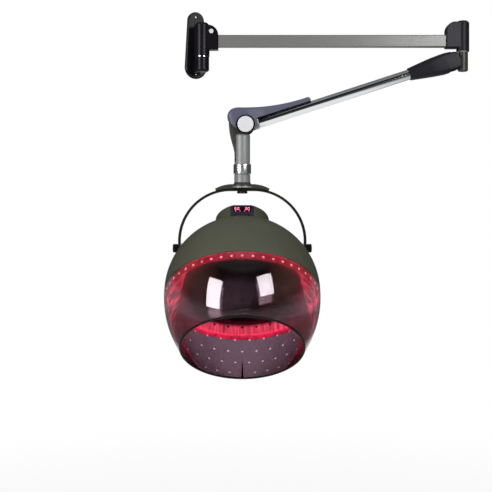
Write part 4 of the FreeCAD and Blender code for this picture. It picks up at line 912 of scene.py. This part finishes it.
points = []
for side, turns in ((1, range(90, -1, -ROLL_STEP)), (-1, range(0, -91, -ROLL_STEP))):
    for turn in turns:
        shift = WING_ROLL * math.sin(math.radians(turn))
        inset = WING_ROLL * (1 - math.cos(math.radians(turn)))
        depth = (WING_HALF - WING_ROLL) * side + shift
        points += [(x, depth, z) for x, z in drawn_in(WING, inset)]
count = len(WING)
last = len(points) - count
faces = [[k + n, k + (n + 1) % count, k + count + (n + 1) % count, k + count + n]
         for k in range(0, last, count) for n in range(count)]
faces += [list(range(count))[::-1], [last + n for n in range(count)]]
# The wing is coloured darker than the post.
piece("stem_wing", points, flipped(faces), dark_cast, "stem", WRIST, ["stem_head"])
print("wing", count, "outline points")

# %% [markdown]
# ## The collar's sleeve
# The collar that rises from the yoke's saddle is turned bright and lacquered, while the saddle
# itself is painted dark. A thin sleeve carries the lighter finish.

# %% Collar sleeve
COLLAR_RADIUS, COLLAR_LOW, COLLAR_TOP, SLEEVE = 20.0, 151.1, 185.2, 0.12
FLARE_CENTRE, FLARE_RADIUS, FLARE_FOOT, BEVEL, LIP = (29, 166), 9, 28.1, 1.5, 0.05
points, faces = spin([(COLLAR_RADIUS - 0.5, COLLAR_LOW), (FLARE_FOOT, COLLAR_LOW)]
                     + arc(FLARE_CENTRE, FLARE_RADIUS - SLEEVE, 257, 180, 8)
                     + [(COLLAR_RADIUS + SLEEVE, COLLAR_TOP - BEVEL),
                        (COLLAR_RADIUS - BEVEL + SLEEVE, COLLAR_TOP + LIP),
                        (COLLAR_RADIUS - 3, COLLAR_TOP + LIP)], 96)
piece("collar_sleeve", points, faces, grey_cast, "yoke", YOKE)
print("collar sleeve", round(COLLAR_TOP - COLLAR_LOW, 1), "mm tall")

# %% [markdown]
# ## The floor
# A wide pale floor lies well under the hood. Camera, mirror and clear rays see it almost as white
# as the backdrop, and fully so further out, so that the two join without an edge. Mirror rays see
# it grow dark at its sides, and other light meets plain paper.

# %% Floor
FLOOR_LEVEL, FLOOR_HALF = -1.35, 6
floor_mesh = bpy.data.meshes.new("floor")
floor_mesh.from_pydata([(x * FLOOR_HALF, y * FLOOR_HALF, FLOOR_LEVEL)
                        for x, y in ((-1, -1), (1, -1), (1, 1), (-1, 1))], [], [[0, 1, 2, 3]])
floor = bpy.data.objects.new("floor", floor_mesh)
bpy.context.collection.objects.link(floor)
paper = bpy.data.materials.new("white_studio_paper")
tree = empty_tree(paper)
sheet = add(tree, "BsdfPrincipled", {
    "Base Color": linear("#F4F4F4"), "Roughness": 0.9, "Specular IOR Level": 0.0})
rays = add(tree, "LightPath")
spot = add(tree, "TexCoord").outputs["Object"]
across = add(tree, "VectorMath", {0: spot, 1: YAW @ Vector((1, 0, 0))}, operation="DOT_PRODUCT")
beside = add(tree, "Math", {0: across.outputs["Value"], 1: 0.2}, operation="SUBTRACT")
beside = add(tree, "Math", {0: beside}, operation="ABSOLUTE")
sheet_end = add(tree, "MapRange", {
    "Value": beside, "From Min": 0.85, "From Max": 1.3, "To Min": 1.0, "To Max": 0.15})
power = add(tree, "Mix", {"Factor": rays.outputs["Is Glossy Ray"], "A": 1.0, "B": sheet_end})
bright = add(tree, "Emission", {"Color": (1, 1, 1, 1), "Strength": power})
seen = add(tree, "Math", {0: rays.outputs["Is Camera Ray"], 1: rays.outputs["Is Glossy Ray"]},
           operation="MAXIMUM")
seen = add(tree, "Math", {0: seen, 1: rays.outputs["Is Transmission Ray"]}, operation="MAXIMUM")
far = add(tree, "VectorMath", {0: spot, 1: (0.1, -0.2, FLOOR_LEVEL)}, operation="DISTANCE")
share = add(tree, "MapRange", {
    "Value": far.outputs["Value"], "From Min": 0.5, "From Max": 2.2, "To Min": 0.8, "To Max": 1.0}, **SMOOTH)
part_white = add(tree, "Math", {0: seen, 1: share}, operation="MULTIPLY")
mix = add(tree, "MixShader", {"Fac": part_white, 1: sheet, 2: bright})
add(tree, "OutputMaterial", {"Surface": mix})
floor_mesh.materials.append(paper)
print("floor", round(FLOOR_LEVEL, 2), "m")

# %% [markdown]
# ## The world
# Camera rays see plain white, and a gentler white lights the object. Mirror and clear rays see a
# dark room on the camera's side, between a low and a high edge, paler towards its sides. It lets
# the visor stay near black in front and gives the chrome its dark lines. Outside that room, clear
# rays see white and mirror rays see a dim grey that is lighter overhead.

# %% World
LIGHT_LEVEL = 0.4
world = bpy.data.worlds.new("studio")
bpy.context.scene.world = world
tree = empty_tree(world)
rays = add(tree, "LightPath")
way = add(tree, "TexCoord").outputs["Generated"]
square_on = add(tree, "VectorRotate", {
    "Vector": way, "Angle": math.radians(-ARM_TURN)}, rotation_type="Z_AXIS")
way_x, way_y, way_z = add(tree, "SeparateXYZ", {"Vector": square_on}).outputs
front = add(tree, "MapRange", {
    "Value": way_y, "From Min": 0.5, "From Max": 0.75, "To Min": 1.0, "To Max": 0.0})
clear = rays.outputs["Is Transmission Ray"]
low_edge = add(tree, "Mix", {"Factor": clear, "A": 0.25, "B": 0.08})
high_edge = add(tree, "Mix", {"Factor": clear, "A": 0.78, "B": 0.95})
over_low = add(tree, "Math", {0: way_z, 1: low_edge}, operation="SUBTRACT")
to_high = add(tree, "Math", {0: high_edge, 1: way_z}, operation="SUBTRACT")
above = add(tree, "MapRange", {"Value": over_low, "From Max": 0.1})
under = add(tree, "MapRange", {"Value": to_high, "From Max": 0.07})
dark = add(tree, "Math", {0: front, 1: above}, operation="MULTIPLY")
dark = add(tree, "Math", {0: dark, 1: under}, operation="MULTIPLY")
across = add(tree, "Math", {0: way_x}, operation="ABSOLUTE")
beside = add(tree, "MapRange", {"Value": across, "From Min": 0.45, "From Max": 0.8})
room = add(tree, "MixRGB", {"Fac": beside, "Color1": linear("#1A1216"), "Color2": linear("#8E7866")})
mirrored = add(tree, "MapRange", {
    "Value": way_z, "From Min": 0.3, "From Max": 0.8, "To Min": 0.05, "To Max": 0.26})
pale = add(tree, "Mix", {"Factor": clear, "A": mirrored, "B": 1.0})
scenery = add(tree, "MixRGB", {"Fac": dark, "Color1": pale, "Color2": room})
bent = add(tree, "Math", {0: rays.outputs["Is Glossy Ray"], 1: clear}, operation="MAXIMUM")
level = add(tree, "MixRGB", {"Fac": bent, "Color1": [LIGHT_LEVEL] * 3 + [1.0], "Color2": scenery})
level = add(tree, "MixRGB", {"Fac": rays.outputs["Is Camera Ray"], "Color1": level, "Color2": (1, 1, 1, 1)})
backdrop = add(tree, "Background", {"Color": level})
add(tree, "OutputWorld", {"Surface": backdrop})
print("world strength", LIGHT_LEVEL)

# %% [markdown]
# ## The lamps
# Two soft boxes stand in front, where the photograph shows their images in the visor. A large
# overhead lamp fills the top, and no mirror or clear wall shows it, as in the photograph.


# %% Soft boxes
def soft_box(name, where, towards, wide, high, power):
    """A rectangular area lamp that faces a point."""
    data = bpy.data.lights.new(name, "AREA")
    data.shape = "RECTANGLE"
    data.size, data.size_y, data.energy = wide, high, power
    lamp = bpy.data.objects.new(name, data)
    lamp.location = where
    lamp.rotation_euler = (Vector(towards) - Vector(where)).to_track_quat("-Z", "Y").to_euler()
    bpy.context.collection.objects.link(lamp)
    return lamp


HOOD_MIDDLE = HOOD @ Vector((0, 0, -0.15))
soft_box("left_box", (-1.482, -0.783, 0.003), HOOD_MIDDLE, wide=0.62, high=0.85, power=22)
soft_box("right_box", (0.38, -1.668, 0.255), HOOD_MIDDLE, wide=0.62, high=0.62, power=14)
top_lamp = soft_box("top_lamp", (0.1, -0.9, 1.6), (0.2, -0.2, -0.3), wide=2.4, high=1.6, power=20)
top_lamp.visible_glossy = False
top_lamp.visible_transmission = False
print("three lamps")
